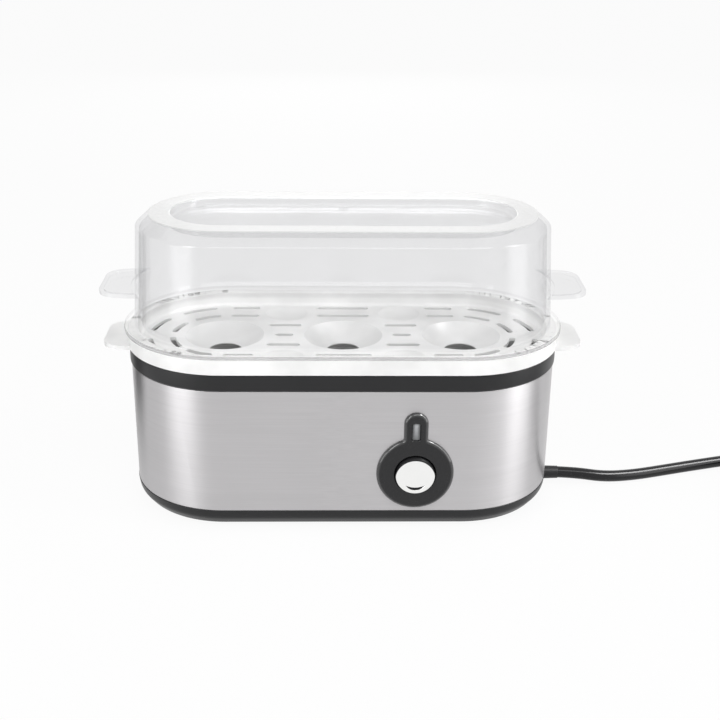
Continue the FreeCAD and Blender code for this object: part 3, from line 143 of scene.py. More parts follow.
class CookerColours(bpy.types.PropertyGroup):
    """Colours of the finishes."""
    steel: colour("Steel", "Brushed steel sleeve", (0.512, 0.502, 0.510))
    bowl: colour("Bowl", "Satin steel water bowl", (0.55, 0.55, 0.54))
    black: colour("Black", "Moulded black plastic", (0.010, 0.010, 0.011))
    white: colour("White", "White tray", (0.90, 0.90, 0.895))
    clear: colour("Clear", "Tint of each face of the clear lid", (0.962, 0.962, 0.964))
    mirror: colour("Mirror", "What the clear lid's edges mirror", (0.66, 0.66, 0.67))
    silver: colour("Silver", "Plated push button", (0.90, 0.90, 0.89))
    lens: colour("Lens", "Lamp window", (0.16, 0.165, 0.17))
    cord: colour("Cord", "Cord and plug", (0.010, 0.010, 0.011))
    floor: colour("Floor", "Studio floor", (0.93, 0.93, 0.93))


class CookerStudio(bpy.types.PropertyGroup):
    """Camera and lights."""
    lens: FloatProperty(name="Lens", description="Focal length on a 36 mm sensor, in mm", default=60.19)
    yaw: angle("Yaw", "Turn of the view towards +X", 0.02495)
    pitch: angle("Pitch", "How far the view looks down", 0.39554)
    roll: angle("Roll", "Tilt of the frame", 0.01114)
    place: FloatVectorProperty(name="Place", description="Where the camera stands", size=3,
                               default=(-0.00529, -0.54556, 0.29615), subtype="TRANSLATION", unit="LENGTH")
    key: power("Key", "Power of the large lamp overhead", 3.2)
    back: power("Back", "Power of the low lamp behind", 1.5)
    side: power("Side", "Power of each side lamp", 3.0)
    spark: power("Spark", "Power of the lamp that only gloss shows, over the cord", 11.0)
    sky: FloatProperty(name="Sky", description="Light from all round", default=0.43, min=0.0)


class Value:
    """A shader output that takes part in Python arithmetic."""

    def __init__(self, finish, output):
        self.finish = finish
        self.output = output

    def maths(self, operation, left, right=0.0):
        return self.finish.node("ShaderNodeMath", {"operation": operation}, {0: left, 1: right})

    def __add__(self, other):
        return self.maths("ADD", self, other)

    def __radd__(self, other):
        return self.maths("ADD", other, self)

    def __sub__(self, other):
        return self.maths("SUBTRACT", self, other)

    def __rsub__(self, other):
        return self.maths("SUBTRACT", other, self)

    def __mul__(self, other):
        return self.maths("MULTIPLY", self, other)

    def __rmul__(self, other):
        return self.maths("MULTIPLY", other, self)

    def __pow__(self, other):
        return self.maths("POWER", self, other)

    def __abs__(self):
        return self.maths("ABSOLUTE", self)

    def least(self, other):
        return self.maths("MINIMUM", self, other)

    def most(self, other):
        return self.maths("MAXIMUM", self, other)

    def turn(self, other):
        """The angle whose tangent is this over the other."""
        return self.maths("ARCTAN2", self, other)

    def within(self, low, high):
        """Zero below low, one above high, and smooth between."""
        return self.finish.node("ShaderNodeMapRange", {"interpolation_type": "SMOOTHSTEP"},
                                {"Value": self, "From Min": low, "From Max": high})


class Finish:
    """A node material that is written as expressions."""

    def __init__(self, name, world=None):
        self.owner = world or bpy.data.materials.new(name)
        self.owner.use_nodes = True
        self.tree = self.owner.node_tree
        self.tree.nodes.clear()
        self.end = self.tree.nodes.new("ShaderNodeOutputWorld" if world else "ShaderNodeOutputMaterial")

    def node(self, kind, settings=None, sockets=None, out=0):
        """Add a node: its settings first, then the values or links of its sockets."""
        made = self.tree.nodes.new(kind)
        for name, value in (settings or {}).items():
            setattr(made, name, value)
        for key, value in (sockets or {}).items():
            socket = self.socket(made.inputs, key)
            if isinstance(value, Value):
                self.tree.links.new(value.output, socket)
            else:
                socket.default_value = value
        return Value(self, self.socket(made.outputs, out))

    @staticmethod
    def socket(group, key):
        """The socket with that identifier or, failing that, that name or number."""
        for item in group:
            if item.identifier == key:
                return item
        return group[key]

    def place(self):
        """Where a point of the surface is, in the frame."""
        return self.node("ShaderNodeTexCoord", out="Object")

    def axes(self, vector):
        """The three parts of a vector."""
        first = self.node("ShaderNodeSeparateXYZ", None, {"Vector": vector})
        return [Value(self, output) for output in first.output.node.outputs]

    def vector(self, x, y, z):
        return self.node("ShaderNodeCombineXYZ", None, {"X": x, "Y": y, "Z": z})

    def noise(self, vector, scale, detail=3.0, roughness=0.5):
        """Soft random values from 0 to 1."""
        return self.node("ShaderNodeTexNoise", None,
                         {"Vector": vector, "Scale": scale, "Detail": detail, "Roughness": roughness})

    def rays(self, first, *others):
        """One for rays of any of the named kinds."""
        path = self.node("ShaderNodeLightPath").output.node.outputs
        kind = Value(self, path[first])
        for name in others:
            kind = kind.most(Value(self, path[name]))
        return kind

    def mix(self, share, first, second):
        """Blend of two colours."""
        return self.node("ShaderNodeMix", {"data_type": "RGBA"},
                         {"Factor_Float": share, "A_Color": first, "B_Color": second}, "Result_Color")

    def bump(self, height, strength, distance):
        return self.node("ShaderNodeBump", None,
                         {"Height": height, "Strength": strength, "Distance": distance})

    def principled(self, sockets):
        return self.node("ShaderNodeBsdfPrincipled", None, sockets)

    def blend(self, share, first, second):
        """Blend of two shaders."""
        return self.node("ShaderNodeMixShader", None, {0: share, 1: first, 2: second})

    def show(self, shader):
        """Make a shader the surface, and return the material."""
        self.tree.links.new(shader.output, self.end.inputs["Surface"])
        return self.owner


def rgba(shade, gain=1.0):
    """A colour with full alpha, made lighter or darker."""
    return (*[min(1.0, part * gain) for part in shade], 1.0)


def past_centre(x):
    """How far a point lies past its end's centre."""
    return (abs(x) - END_CENTRE).most(0.0)


def brushed_finish(name, shade):
    """Steel brushed along the outline: fine level lines, a little uneven."""
    finish = Finish(name)
    line_run, line_rise = 18.0, 2600.0
    streak_run, streak_rise = 7.0, 420.0
    x, y, z = finish.axes(finish.place())
    along = abs(x).least(END_CENTRE) + SLEEVE_R * past_centre(x).turn(abs(y))
    # Each side has lines of its own.
    side = (x * 60.0).within(-1.0, 1.0) * 3.0 + (y * 60.0).within(-1.0, 1.0) * 7.0
    lines = finish.noise(finish.vector(along * line_run, side, z * line_rise), 1.0, detail=4.0, roughness=0.7)
    streaks = finish.noise(finish.vector(along * streak_run, side, z * streak_rise), 1.0, detail=2.0)
    clouds = finish.noise(finish.place(), 22.0, detail=2.0)
    tone = lines * 0.60 + streaks * 0.2 + clouds * 0.2
    return finish.show(finish.principled({
        "Base Color": finish.mix(tone.within(0.25, 0.75), rgba(shade, 0.93), rgba(shade, 1.06)),
        "Metallic": 1.0,
        "Roughness": 0.31 + lines * 0.10 + clouds * 0.04,
        "Anisotropic": 0.85,
        "Anisotropic Rotation": 0.25,
        "Normal": finish.bump(lines, strength=0.05, distance=0.2 * MM),
    }))


def moulded_finish(name, shade, roughness, grain=0.10, shine=0.5, polished_behind=None):
    """Moulded plastic with fine grain and faint flow marks, polished behind a depth if one is given."""
    finish = Finish(name)
    place = finish.place()
    fine = finish.noise(place, 2600.0, detail=2.0)
    flow = finish.noise(place, 38.0, detail=3.0)
    coat = {}
    if polished_behind is not None:
        depth = finish.axes(place)[1] - polished_behind
        coat = {"Coat Weight": depth.within(0.1 * MM, 0.4 * MM), "Coat Roughness": 0.04}
    return finish.show(finish.principled({
        "Base Color": finish.mix(flow.within(0.3, 0.7), rgba(shade, 0.92), rgba(shade, 1.08)),
        "Roughness": roughness - 0.04 + flow * 0.05 + fine * 0.05,
        "Specular IOR Level": shine,
        "Normal": finish.bump(fine, grain, distance=0.1 * MM),
        **coat,
    }))


def clear_finish(name, shade, mirror, rim_reflection_white):
    """Clear plastic that mirrors more the flatter it is looked at; its flat rim on top is rough and painted
    white, a painted reflection of the light overhead, and a painted dark reflection runs along the foot's
    outer edge, strongest at the front.
    """
    finish = Finish(name)
    head_on, grazing = 0.045, 0.75
    foot_dulled, rim_reflection_share, edge_dark_reflection, back_fade = 0.92, 0.70, 0.55, 0.8
    place = finish.place()
    x, y, z = finish.axes(place)
    flow = finish.noise(place, 30.0, detail=2.0)
    speckle = finish.noise(place, 900.0, detail=2.0)
    facing = finish.node("ShaderNodeLayerWeight", None, {"Blend": 0.5}, "Facing")
    # Painted reflection: the flat rim on top is painted white for the bright reflection of the light
    # overhead, over a rougher finish.
    rim = (z - LID_TOP).within(-0.5 * MM, -0.1 * MM) * (0.8 + 0.2 * speckle)
    foot = 1.0 - (z - RIM_TOP).within(2.0 * MM, 2.8 * MM)
    over = past_centre(x)
    out = (over * over + y * y) ** 0.5
    # Painted dark reflection: a dark line along the foot's outer edge, strongest at the front and fading
    # towards the back.
    fade = 1.0 - back_fade * y.within(-30.0 * MM, 20.0 * MM)
    edge = out.within(LID_R - 0.6 * MM, LID_R - 0.3 * MM) * foot * fade
    glossy = finish.mix(flow.within(0.3, 0.7), rgba(mirror, 0.95), rgba(mirror))
    gloss = finish.principled({
        "Base Color": finish.mix(edge, finish.mix(rim, glossy, rgba(rim_reflection_white)), rgba(mirror, 0.5)),
        "Metallic": 1.0 - rim.most(edge),
        "Roughness": 0.03 + flow * 0.04 + rim * 0.4,
        "Normal": finish.bump(flow, strength=0.03, distance=0.4 * MM),
    })
    tinted, untinted = (finish.node("ShaderNodeBsdfTransparent", None, {"Color": rgba(tint)})
                        for tint in (shade, WHITE))
    mirrored = (head_on + grazing * facing ** 5.0) * (1.0 - foot_dulled * foot)
    share = mirrored + rim_reflection_share * rim + edge_dark_reflection * edge
    surface = finish.blend(share, finish.blend(foot, tinted, untinted), gloss)
    return finish.show(finish.blend(finish.rays("Is Shadow Ray", "Is Diffuse Ray"), surface, untinted))


def metal_finish(name, shade, roughness, uneven=0.06):
    """Plain metal with a faint handled look."""
    finish = Finish(name)
    place = finish.place()
    blotch = finish.noise(place, 90.0, detail=3.0)
    fine = finish.noise(place, 1500.0, detail=2.0)
    return finish.show(finish.principled({
        "Base Color": finish.mix(blotch.within(0.3, 0.7), rgba(shade, 0.94), rgba(shade, 1.03)),
        "Metallic": 1.0,
        "Roughness": roughness - uneven / 2 + blotch * uneven,
        "Normal": finish.bump(fine, strength=0.03, distance=0.1 * MM),
    }))


def button_finish(name, shade, dark, radius):
    """Plated button face with dark sides, painted shade over the crest, and painted shade and dark reflection
    in the thumb mark.
    """
    finish = Finish(name)
    place = finish.place()
    x, y, z = finish.axes(place)
    outer, inner, crest = button_marks(x - BUTTON_MID.x, z - BUTTON_MID.z, radius)
    # Painted shade: the thumb mark is painted dark for the shade and dark reflection in it, and the crest for
    # the shadow of the gap above the button.
    mark = 1.0 - outer.most(inner).within(-0.12 * MM, 0.12 * MM)
    side = (y - BUTTON_LOW.y).within(0.45 * MM, 0.6 * MM)
    dark_sides_and_painted_shade = mark.most(side).most(crest.within(-0.1 * MM, 0.1 * MM))
    blotch = finish.noise(place, 160.0, detail=3.0)
    return finish.show(finish.principled({
        "Base Color": finish.mix(dark_sides_and_painted_shade, finish.mix(blotch, rgba(shade, 0.96), rgba(shade)), rgba(dark)),
        "Metallic": 1.0 - dark_sides_and_painted_shade,
        "Roughness": 0.16 + blotch * 0.06 + dark_sides_and_painted_shade * 0.2,
        "Specular IOR Level": 0.12,
    }))


def lens_finish(name, shade):
    """Smoky lamp window, paler along its middle; a painted highlight lightens it towards the top and painted
    shade darkens it towards the bottom.
    """
    finish = Finish(name)
    x, _, z = finish.axes(finish.place())
    across = abs(x - LENS_MID.x).within(0.2 * MM, 1.6 * MM)
    # Painted highlight and painted shade: the pale middle is lighter towards the top and darker towards the
    # bottom.
    rise = (z - LENS_MID.z).within(-4.5 * MM, 3.0 * MM)
    glow = (1.0 - across) * (0.25 + 0.75 * rise)
    grain = finish.noise(finish.place(), 700.0, detail=2.0)
    return finish.show(finish.principled({
        "Base Color": finish.mix(glow * 0.8 + grain * 0.1, rgba(shade, 0.40), rgba(shade, 2.6)),
        "Roughness": 0.10 + grain * 0.05,
        "Coat Weight": 0.6,
        "Coat Roughness": 0.05,
    }))


def in_mm(value):
    return value / MM


def arc(x, z, radius, first, last, steps):
    """Outline points along an arc, both ends included."""
    turns = [first + (last - first) * k / steps for k in range(steps + 1)]
    return [(x + radius * math.cos(turn), z + radius * math.sin(turn)) for turn in turns]


def circle(x, z, radius, steps):
    """Outline points round a full circle."""
    return arc(x, z, radius, 0.0, 2 * math.pi, steps)[:-1]


def pill(x, y, half, radius, steps=10):
    """Outline points of a round-ended slot along X."""
    quarter = math.pi / 2
    return (arc(x + half, y, radius, -quarter, quarter, steps)
            + arc(x - half, y, radius, quarter, 3 * quarter, steps))


def rounded(corners, step=9.0):
    """Points of a closed profile of corners (u, v) or (u, v, radius), in millimetres, as metres."""
    points = []
    count = len(corners)
    for i, corner in enumerate(corners):
        here = Vector(corner[:2])
        radius = corner[2] if len(corner) > 2 else 0.0
        if not radius:
            points.append(here * MM)
            continue
        to_last = (Vector(corners[i - 1][:2]) - here).normalized()
        to_next = (Vector(corners[(i + 1) % count][:2]) - here).normalized()
        half = to_last.angle(to_next) / 2
        middle = here + (to_last + to_next).normalized() * (radius / math.sin(half))
        start = here + to_last * (radius / math.tan(half)) - middle
        end = here + to_next * (radius / math.tan(half)) - middle
        turn = start.angle_signed(end)
        pieces = max(2, math.ceil(abs(math.degrees(turn)) / step))
        for k in range(pieces + 1):
            points.append((middle + Matrix.Rotation(-turn * k / pieces, 2) @ start) * MM)
    return points


def loft(work, rings, closed=True):
    """Faces between rings of points, each ring a closed loop; closed also joins the last to the first."""
    made = [[work.verts.new(point) for point in ring] for ring in rings]
    pairs = list(zip(made, made[1:])) + ([(made[-1], made[0])] if closed else [])
    for first, second in pairs:
        for k in range(len(first)):
            after = (k + 1) % len(first)
            work.faces.new((first[k], first[after], second[after], second[k]))
    return made


def smooth(mesh, sharp=SHARP):
    """Shade a mesh smooth, apart from edges sharper than an angle in degrees."""
    mesh.shade_smooth()
    mesh.set_sharp_from_angle(angle=math.radians(sharp))
    return mesh


def settle(work, name, sharp=SHARP):
    """Turn a worked mesh into a clean one, shaded smooth."""
    bmesh.ops.remove_doubles(work, verts=work.verts, dist=WELD)
    bmesh.ops.dissolve_degenerate(work, edges=work.edges, dist=SLIVER)
    bmesh.ops.recalc_face_normals(work, faces=work.faces)
    mesh = bpy.data.meshes.new(name)
    work.to_mesh(mesh)
    work.free()
    return smooth(mesh, sharp)


def stations(sizes):
    """Round the plan: the centre and the outward direction at each step."""
    made = []
    for side in (1, -1):
        centre = Vector((side * END_CENTRE, 0, 0))
        for k in range(sizes.end_steps + 1):
            turn = side * math.pi / 2 * (2 * k / sizes.end_steps - 1)
            made.append((centre, Vector((side * math.cos(turn), math.sin(turn), 0))))
        for k in range(1, sizes.side_steps):
            x = side * END_CENTRE * (1 - 2 * k / sizes.side_steps)
            made.append((Vector((x, 0, 0)), Vector((0, side, 0))))
    return made


def carried_round(name, corners, sizes):
    """Mesh of a profile of (radius, height) corners carried round the plan outline."""
    profile = rounded(corners)
    rings = [[centre + out * r + Vector((0, 0, z)) for r, z in profile] for centre, out in stations(sizes)]
    work = bmesh.new()
    loft(work, rings)
    inner = [face for face in work.faces if all(abs(point.co.y) < ON_AXIS for point in face.verts)]
    bmesh.ops.delete(work, geom=inner, context="FACES_ONLY")
    return settle(work, name)


def block(work, first, last):
    """Closed block between two rings of points."""
    bottom, top = loft(work, [first, last], closed=False)
    work.faces.new(bottom[::-1])
    work.faces.new(top)


def carve(mesh, tool):
    """Worked mesh of a mesh with a tool mesh cut away from it."""
    body = bpy.data.objects.new("carved", mesh)
    helper = bpy.data.objects.new("tool", tool)
    for item in (body, helper):
        bpy.context.collection.objects.link(item)
    cut = body.modifiers.new("carve", "BOOLEAN")
    cut.operation = "DIFFERENCE"
    cut.solver = "EXACT"
    cut.object = helper
    graph = bpy.context.evaluated_depsgraph_get()
    made = bpy.data.meshes.new_from_object(body.evaluated_get(graph))
    for item in (helper, body):
        bpy.data.objects.remove(item)
    work = bmesh.new()
    work.from_mesh(made)
    return work


def add_piece(name, mesh, finish, body, slot, *nodes):
    """Stand a mesh in the frame: it rides on a body and takes the place of frame nodes."""
    piece = bpy.data.objects.new(name, mesh)
    bpy.context.collection.objects.link(piece)
    mesh.materials.clear()
    mesh.materials.append(finish)
    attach(piece, body)
    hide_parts(*nodes)


def dress(finish, *nodes):
    """Give frame nodes their finish."""
    for node in nodes:
        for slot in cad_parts[node].material_slots:
            slot.material = finish


class COOKER_OT_sleeve(bpy.types.Operator):
    """Brushed steel sleeve, with its openings behind the bezel"""
    bl_idname = "cooker.sleeve"
    bl_label = "Steel sleeve"

    # In millimetres.
    sheet = 0.6
    sheet_round = 0.2
    collar_room = 1.6
    lens_room = 0.4
    cut = (-4.0, 4.0)
    hole_steps = 48

    def openings(self):
        """Front outlines of the holes for the button and the lamp, in metres."""
        radius = (BUTTON_HIGH.x - BUTTON_LOW.x) / 2 + self.collar_room * MM
        room = self.lens_room * MM
        half = (LENS_HIGH.x - LENS_LOW.x) / 2 + room
        left, right = BUTTON_MID.x - half, BUTTON_MID.x + half
        low, high = LENS_LOW.z - room, LENS_HIGH.z + room
        return (circle(BUTTON_MID.x, BUTTON_MID.z, radius, self.hole_steps),
                [(left, low), (right, low), (right, high), (left, high)])

    def execute(self, context):
        outer, low, high = in_mm(SLEEVE_R), in_mm(SLEEVE_LOW), in_mm(SLEEVE_HIGH)
        inner = outer - self.sheet
        band = carried_round("band", [
            (inner, low), (outer, low, self.sheet_round), (outer, high, self.sheet_round), (inner, high),
        ], context.scene.cooker_sizes)
        depths = [-SLEEVE_R + depth * MM for depth in self.cut]
        work = bmesh.new()
        for outline in self.openings():
            block(work, *[[Vector((x, y, z)) for x, z in outline] for y in depths])
        sleeve = settle(carve(band, settle(work, "holes")), "sleeve")
        steel = brushed_finish("brushed_steel", context.scene.cooker_colours.steel)
        add_piece("sleeve", sleeve, steel, "base", "brushed_steel", "steel_sleeve")
        return {"FINISHED"}


class COOKER_OT_housing(bpy.types.Operator):
    """Black base and black upper ring"""
    bl_idname = "cooker.housing"
    bl_label = "Base and ring"

    # In millimetres. Both pieces nest in the sleeve.
    nest_room = 0.9
    nest_wall = 1.8

    # The base, whose bend is (inset, height, round).
    tuck = 3.8
    tuck_round = 1.0
    bend = (0.6, 4.0, 5.0)
    lip_round = 0.4
    upstand = 4.7
    sole = 2.0
    hollow_in = 4.8
    hollow_up = 4.6
    hollow_round = 1.5
    vents = 5
    vent_pitch = 6.5
    vent_half = 11.8
    vent_radius = 1.2
    well_radius = 3.0
    well_steps = 32
    screw_head = 2.7
    cut = (-2.0, 4.0)

    # The ring, whose rim carries the tray and whose ledge carries the bowl.
    shoulder_round = 0.7
    rim_room = 0.3
    rim_round = 0.3
    bowl_room = 1.0
    ledge_width = 9.0
    ledge_depth = 2.0
    tongue = 4.8
    bevel = 0.8
    bevel_round = 0.4

    def base(self, sizes):
        """Base with its vents and screw wells."""
        low, top, outer = in_mm(BASE_LOW), in_mm(SLEEVE_LOW), in_mm(BASE_R)
        nest = in_mm(SLEEVE_R) - self.nest_room
        inside = nest - self.nest_wall
        bend_in, bend_up, bend_round = self.bend
        shell = carried_round("base", [
            (0, low), (outer - self.tuck, low, self.tuck_round),
            (outer - bend_in, low + bend_up, bend_round), (outer, top, self.lip_round),
            (nest, top), (nest, top + self.upstand), (inside, top + self.upstand),
            (inside, low + self.hollow_up, self.hollow_round),
            (outer - self.hollow_in, low + self.sole, self.hollow_round), (0, low + self.sole),
        ], sizes)
        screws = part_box("housing_screws")[1].y - self.screw_head * MM
        rows = [(k - (self.vents - 1) / 2) * self.vent_pitch * MM for k in range(self.vents)]
        outlines = [pill(-END_CENTRE / 2, y, self.vent_half * MM, self.vent_radius * MM) for y in rows]
        outlines += [circle(x, y, self.well_radius * MM, self.well_steps)
                     for x in (END_CENTRE, -END_CENTRE) for y in (screws, -screws)]
        levels = [BASE_LOW + level * MM for level in self.cut]
        work = bmesh.new()
        for outline in outlines:
            block(work, *[[Vector((x, y, z)) for x, y in outline] for z in levels])
        return settle(carve(shell, settle(work, "wells")), "base_shell")

    def ring(self, sizes):
        """Ring over the sleeve."""
        outer, band_low, top = in_mm(RING_R), in_mm(SLEEVE_HIGH), in_mm(LIP_TOP)
        shoulder = in_mm(SLEEVE_HIGH + sizes.ring_band)
        rim = in_mm(SKIRT_R - sizes.tray_wall) - self.rim_room
        inner = in_mm(BOWL_R) + self.bowl_room
        seal_low, seal_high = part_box("bowl_seal")
        ledge = in_mm(seal_low.z)
        ledge_in = in_mm(seal_high.y) - self.ledge_width
        nest = in_mm(SLEEVE_R) - self.nest_room
        inside = nest - self.nest_wall
        return carried_round("ring_shell", [
            (outer, shoulder, self.shoulder_round), (rim, shoulder), (rim, top, self.rim_round),
            (inner, top, self.rim_round), (inner, ledge), (ledge_in, ledge),
            (ledge_in, ledge - self.ledge_depth), (inside, ledge - self.ledge_depth),
            (inside, band_low - self.tongue), (nest, band_low - self.tongue), (nest, band_low),
            (outer - self.bevel, band_low), (outer, band_low + self.bevel, self.bevel_round),
        ], sizes)

    def execute(self, context):
        sizes = context.scene.cooker_sizes
        shade = context.scene.cooker_colours.black
        black = moulded_finish("moulded_black", shade, roughness=0.36, shine=0.35)
        add_piece("base_shell", self.base(sizes), black, "base", "black_plastic", "lower_housing")
        add_piece("ring_shell", self.ring(sizes), black, "base", "black_plastic", "upper_ring")
        return {"FINISHED"}


class COOKER_OT_bowl(bpy.types.Operator):
    """Satin steel water bowl"""
    bl_idname = "cooker.bowl"
    bl_label = "Water bowl"

    # In millimetres.
    sheet = 0.8
    flange_width = 8.9
    bottom_round = 4.0
    under_round = 0.5
    edge_round = 0.3
    mouth_round = 1.2

    def execute(self, context):
        flange, low, top = in_mm(BOWL_R), in_mm(BOWL_LOW), in_mm(BOWL_HIGH)
        wall = flange - self.flange_width
        inside = wall - self.sheet
        bowl = carried_round("bowl_shell", [
            (0, low), (wall, low, self.bottom_round), (wall, top - self.sheet, self.under_round),
            (flange, top - self.sheet), (flange, top, self.edge_round), (inside, top, self.mouth_round),
            (inside, low + self.sheet, self.bottom_round - self.sheet), (0, low + self.sheet),
        ], context.scene.cooker_sizes)
        satin = metal_finish("bowl_steel", context.scene.cooker_colours.bowl, roughness=0.34, uneven=0.12)
        add_piece("bowl_shell", bowl, satin, "base", "bowl_steel", "water_bowl")
        return {"FINISHED"}


class COOKER_OT_tray(bpy.types.Operator):
    """White egg tray with its cups, dimples and steam slots"""
    bl_idname = "cooker.tray"
    bl_label = "Egg tray"

    def execute(self, context):
        sizes = context.scene.cooker_sizes
        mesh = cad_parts["egg_tray"].data.copy()
        mesh.name = "tray"
        ball_level = RIM_TOP - sizes.tray_depth + math.sqrt(sizes.cup_ball ** 2 - sizes.cup_radius ** 2)
        for point in mesh.vertices:
            cup = sizes.cup_pitch * max(-1, min(1, round(point.co.x / sizes.cup_pitch)))
            off = math.hypot(point.co.x - cup, point.co.y)
            inward = max(0.0, min(1.0, (sizes.cup_radius - off) / (sizes.cup_radius - sizes.cup_hole)))
            inside = ball_level - math.sqrt(max(0.0, sizes.cup_ball ** 2 - off ** 2))
            thinned = sizes.cup_thinner if point.co.z < inside - sizes.cup_thinner / 2 else 0.0
            point.co.z += thinned * inward ** 2 - sizes.cup_deeper * inward
        shade = context.scene.cooker_colours.white
        white = moulded_finish("white_plastic", shade, roughness=0.34, grain=0.05)
        add_piece("tray", smooth(mesh), white, "tray", "white_plastic", "egg_tray")
        return {"FINISHED"}


class COOKER_OT_lid(bpy.types.Operator):
    """Clear lid with its two tabs and steam vent"""
    bl_idname = "cooker.lid"
    bl_label = "Clear lid"

    def execute(self, context):
        colours = context.scene.cooker_colours
        dress(clear_finish("clear_plastic", colours.clear, colours.mirror, colours.white), "lid_shell")
        return {"FINISHED"}


class COOKER_OT_control(bpy.types.Operator):
    """Bezel, lamp window and push button"""
    bl_idname = "cooker.control"
    bl_label = "Control"

    # In millimetres. The bezel is a keyhole: a disc, a stem and the fillets between them.
    disc = 18.2
    stem = 5.7
    fillet = 1.2
    bevel = (2.5, 1.9)
    bore = 9.6
    bore_round = 0.5
    bore_depth = 3.0
    bore_steps = 72

    # The window (half width, half height, corner) and its lens, whose crown is (inset, rise) steps.
    window = (2.05, 4.35, 0.9)
    window_round = 0.35
    window_depth = 1.0
    lens_room = 0.05
    lens_sunk = 0.9
    lens_depth = 0.8
    crown = ((0.12, 0.12), (0.3, 0.25), (0.6, 0.36), (0.85, 0.42))

    button_round = 0.6
    button_depth = 3.0
    button_steps = 160
    face_steps = 40
    face_hollow = 0.45
    mark_depth = 0.35
    mark_fade = 0.3

    def outline(self, inset, steps=96):
        """Keyhole outline round the button's middle, drawn in by inset, in millimetres."""
        disc, stem, fillet = self.disc - inset, self.stem - inset, self.fillet + inset
        across = stem + fillet
        up = math.sqrt((disc + fillet) ** 2 - across ** 2)
        lean = math.atan2(up, across)
        stem_top = in_mm(BEZEL_HIGH.z - BUTTON_MID.z) - self.stem
        return (arc(0, 0, disc, lean, -math.pi - lean, steps)
                + arc(-across, up, fillet, -lean, 0.0, steps // 8)
                + arc(0, stem_top, stem, math.pi, 0.0, steps // 3)
                + arc(across, up, fillet, math.pi, math.pi + lean, steps // 8)[:-1])[1:]

    def window_outline(self, inset, steps=6):
        """Rounded window outline, drawn in by inset, in millimetres."""
        half_x, half_z, radius = (size - inset for size in self.window)
        lift = in_mm(LENS_MID.z - BUTTON_MID.z)
        points = []
        for k, (sx, sz) in enumerate(((1, 1), (-1, 1), (-1, -1), (1, -1))):
            points += arc(sx * (half_x - radius), lift + sz * (half_z - radius), radius,
                          k * math.pi / 2, (k + 1) * math.pi / 2, steps)
        return points

    @staticmethod
    def level(outline, depth):
        """Outline points stood up at a depth round the button's middle."""
        return [Vector((BUTTON_MID.x + x * MM, depth, BUTTON_MID.z + z * MM)) for x, z in outline]

    def bezel(self):
        """Keyhole plate with a rounded edge, a bore and a window."""
        face, back = BEZEL_LOW.y, -SLEEVE_R
        wide, deep = self.bevel
        edge = [self.level(self.outline(0.0), back)]
        bore = []
        window = []
        for turn in QUARTER:
            over, left = 1 - math.cos(turn), 1 - math.sin(turn)
            wider = circle(0, 0, self.bore + self.bore_round * left, self.bore_steps)
            edge.append(self.level(self.outline(wide * over), face + deep * MM * left))
            bore.append(self.level(wider, face + self.bore_round * MM * over))
            window.append(self.level(self.window_outline(-self.window_round * left),
                                     face + self.window_round * MM * over))
        bore.append(self.level(circle(0, 0, self.bore, self.bore_steps), back + self.bore_depth * MM))
        window.append(self.level(self.window_outline(0.0), back + self.window_depth * MM))
        work = bmesh.new()
        loops = [loft(work, edge, closed=False)[-1]]
        loops += [loft(work, opening, closed=False)[0] for opening in (bore, window)]
        edges = [work.edges.get(pair) for loop in loops for pair in zip(loop, loop[1:] + loop[:1])]
        bmesh.ops.triangle_fill(work, use_beauty=True, use_dissolve=False, edges=edges)
        return settle(work, "bezel", sharp=40.0)

    def lens(self):
        """Crowned lamp window."""
        face = BEZEL_LOW.y + self.lens_sunk * MM
        rings = [self.level(self.window_outline(self.lens_room), depth)
                 for depth in (-SLEEVE_R + self.lens_depth * MM, face)]
        rings += [self.level(self.window_outline(inset), face - rise * MM) for inset, rise in self.crown]
        work = bmesh.new()
        work.faces.new(loft(work, rings, closed=False)[-1])
        return settle(work, "lens", sharp=50.0)

    def sunk(self, across, up, radius):
        """How far the face lies back in the thumb mark and over the crest, in metres."""
        outer, inner, crest = button_marks(across, up, radius)
        share = max(0.0, min(1.0, 0.5 - max(outer, inner) / (self.mark_fade * MM)))
        return self.mark_depth * MM * share + max(0.0, crest)

    def button(self, radius):
        """Push button with a rounded edge, a slightly hollow face and a thumb mark low on it."""
        front, edge = BUTTON_LOW.y, self.button_round * MM
        profile = [(radius, -SLEEVE_R + self.button_depth * MM)]
        profile += [(radius - edge * (1 - math.cos(turn)), front + edge * (1 - math.sin(turn)))
                    for turn in QUARTER]
        for k in range(1, self.face_steps + 1):
            share = 1 - k / self.face_steps
            profile.append(((radius - edge) * share, front + self.face_hollow * MM * (1 - share ** 2)))
        rings = [[Vector((BUTTON_MID.x + across, depth + self.sunk(across, up, radius), BUTTON_MID.z + up))
                  for across, up in circle(0.0, 0.0, wide, self.button_steps)] for wide, depth in profile]
        work = bmesh.new()
        loft(work, rings, closed=False)
        return settle(work, "button", sharp=50.0)

    def execute(self, context):
        colours = context.scene.cooker_colours
        radius = context.scene.cooker_sizes.button_radius
        gloss = moulded_finish("bezel_black", colours.black, roughness=0.17, grain=0.02, shine=0.4,
                               polished_behind=BEZEL_LOW.y)
        smoky = lens_finish("lens_clear", colours.lens)
        plated = button_finish("button_silver", colours.silver, colours.black, radius)
        add_piece("bezel", self.bezel(), gloss, "base", "black_plastic", "control_bezel")
        add_piece("lamp_window", self.lens(), smoky, "base", "lens_clear", "lamp_lens")
        add_piece("button", self.button(radius), plated, "button", "button_silver", "push_button")
        return {"FINISHED"}


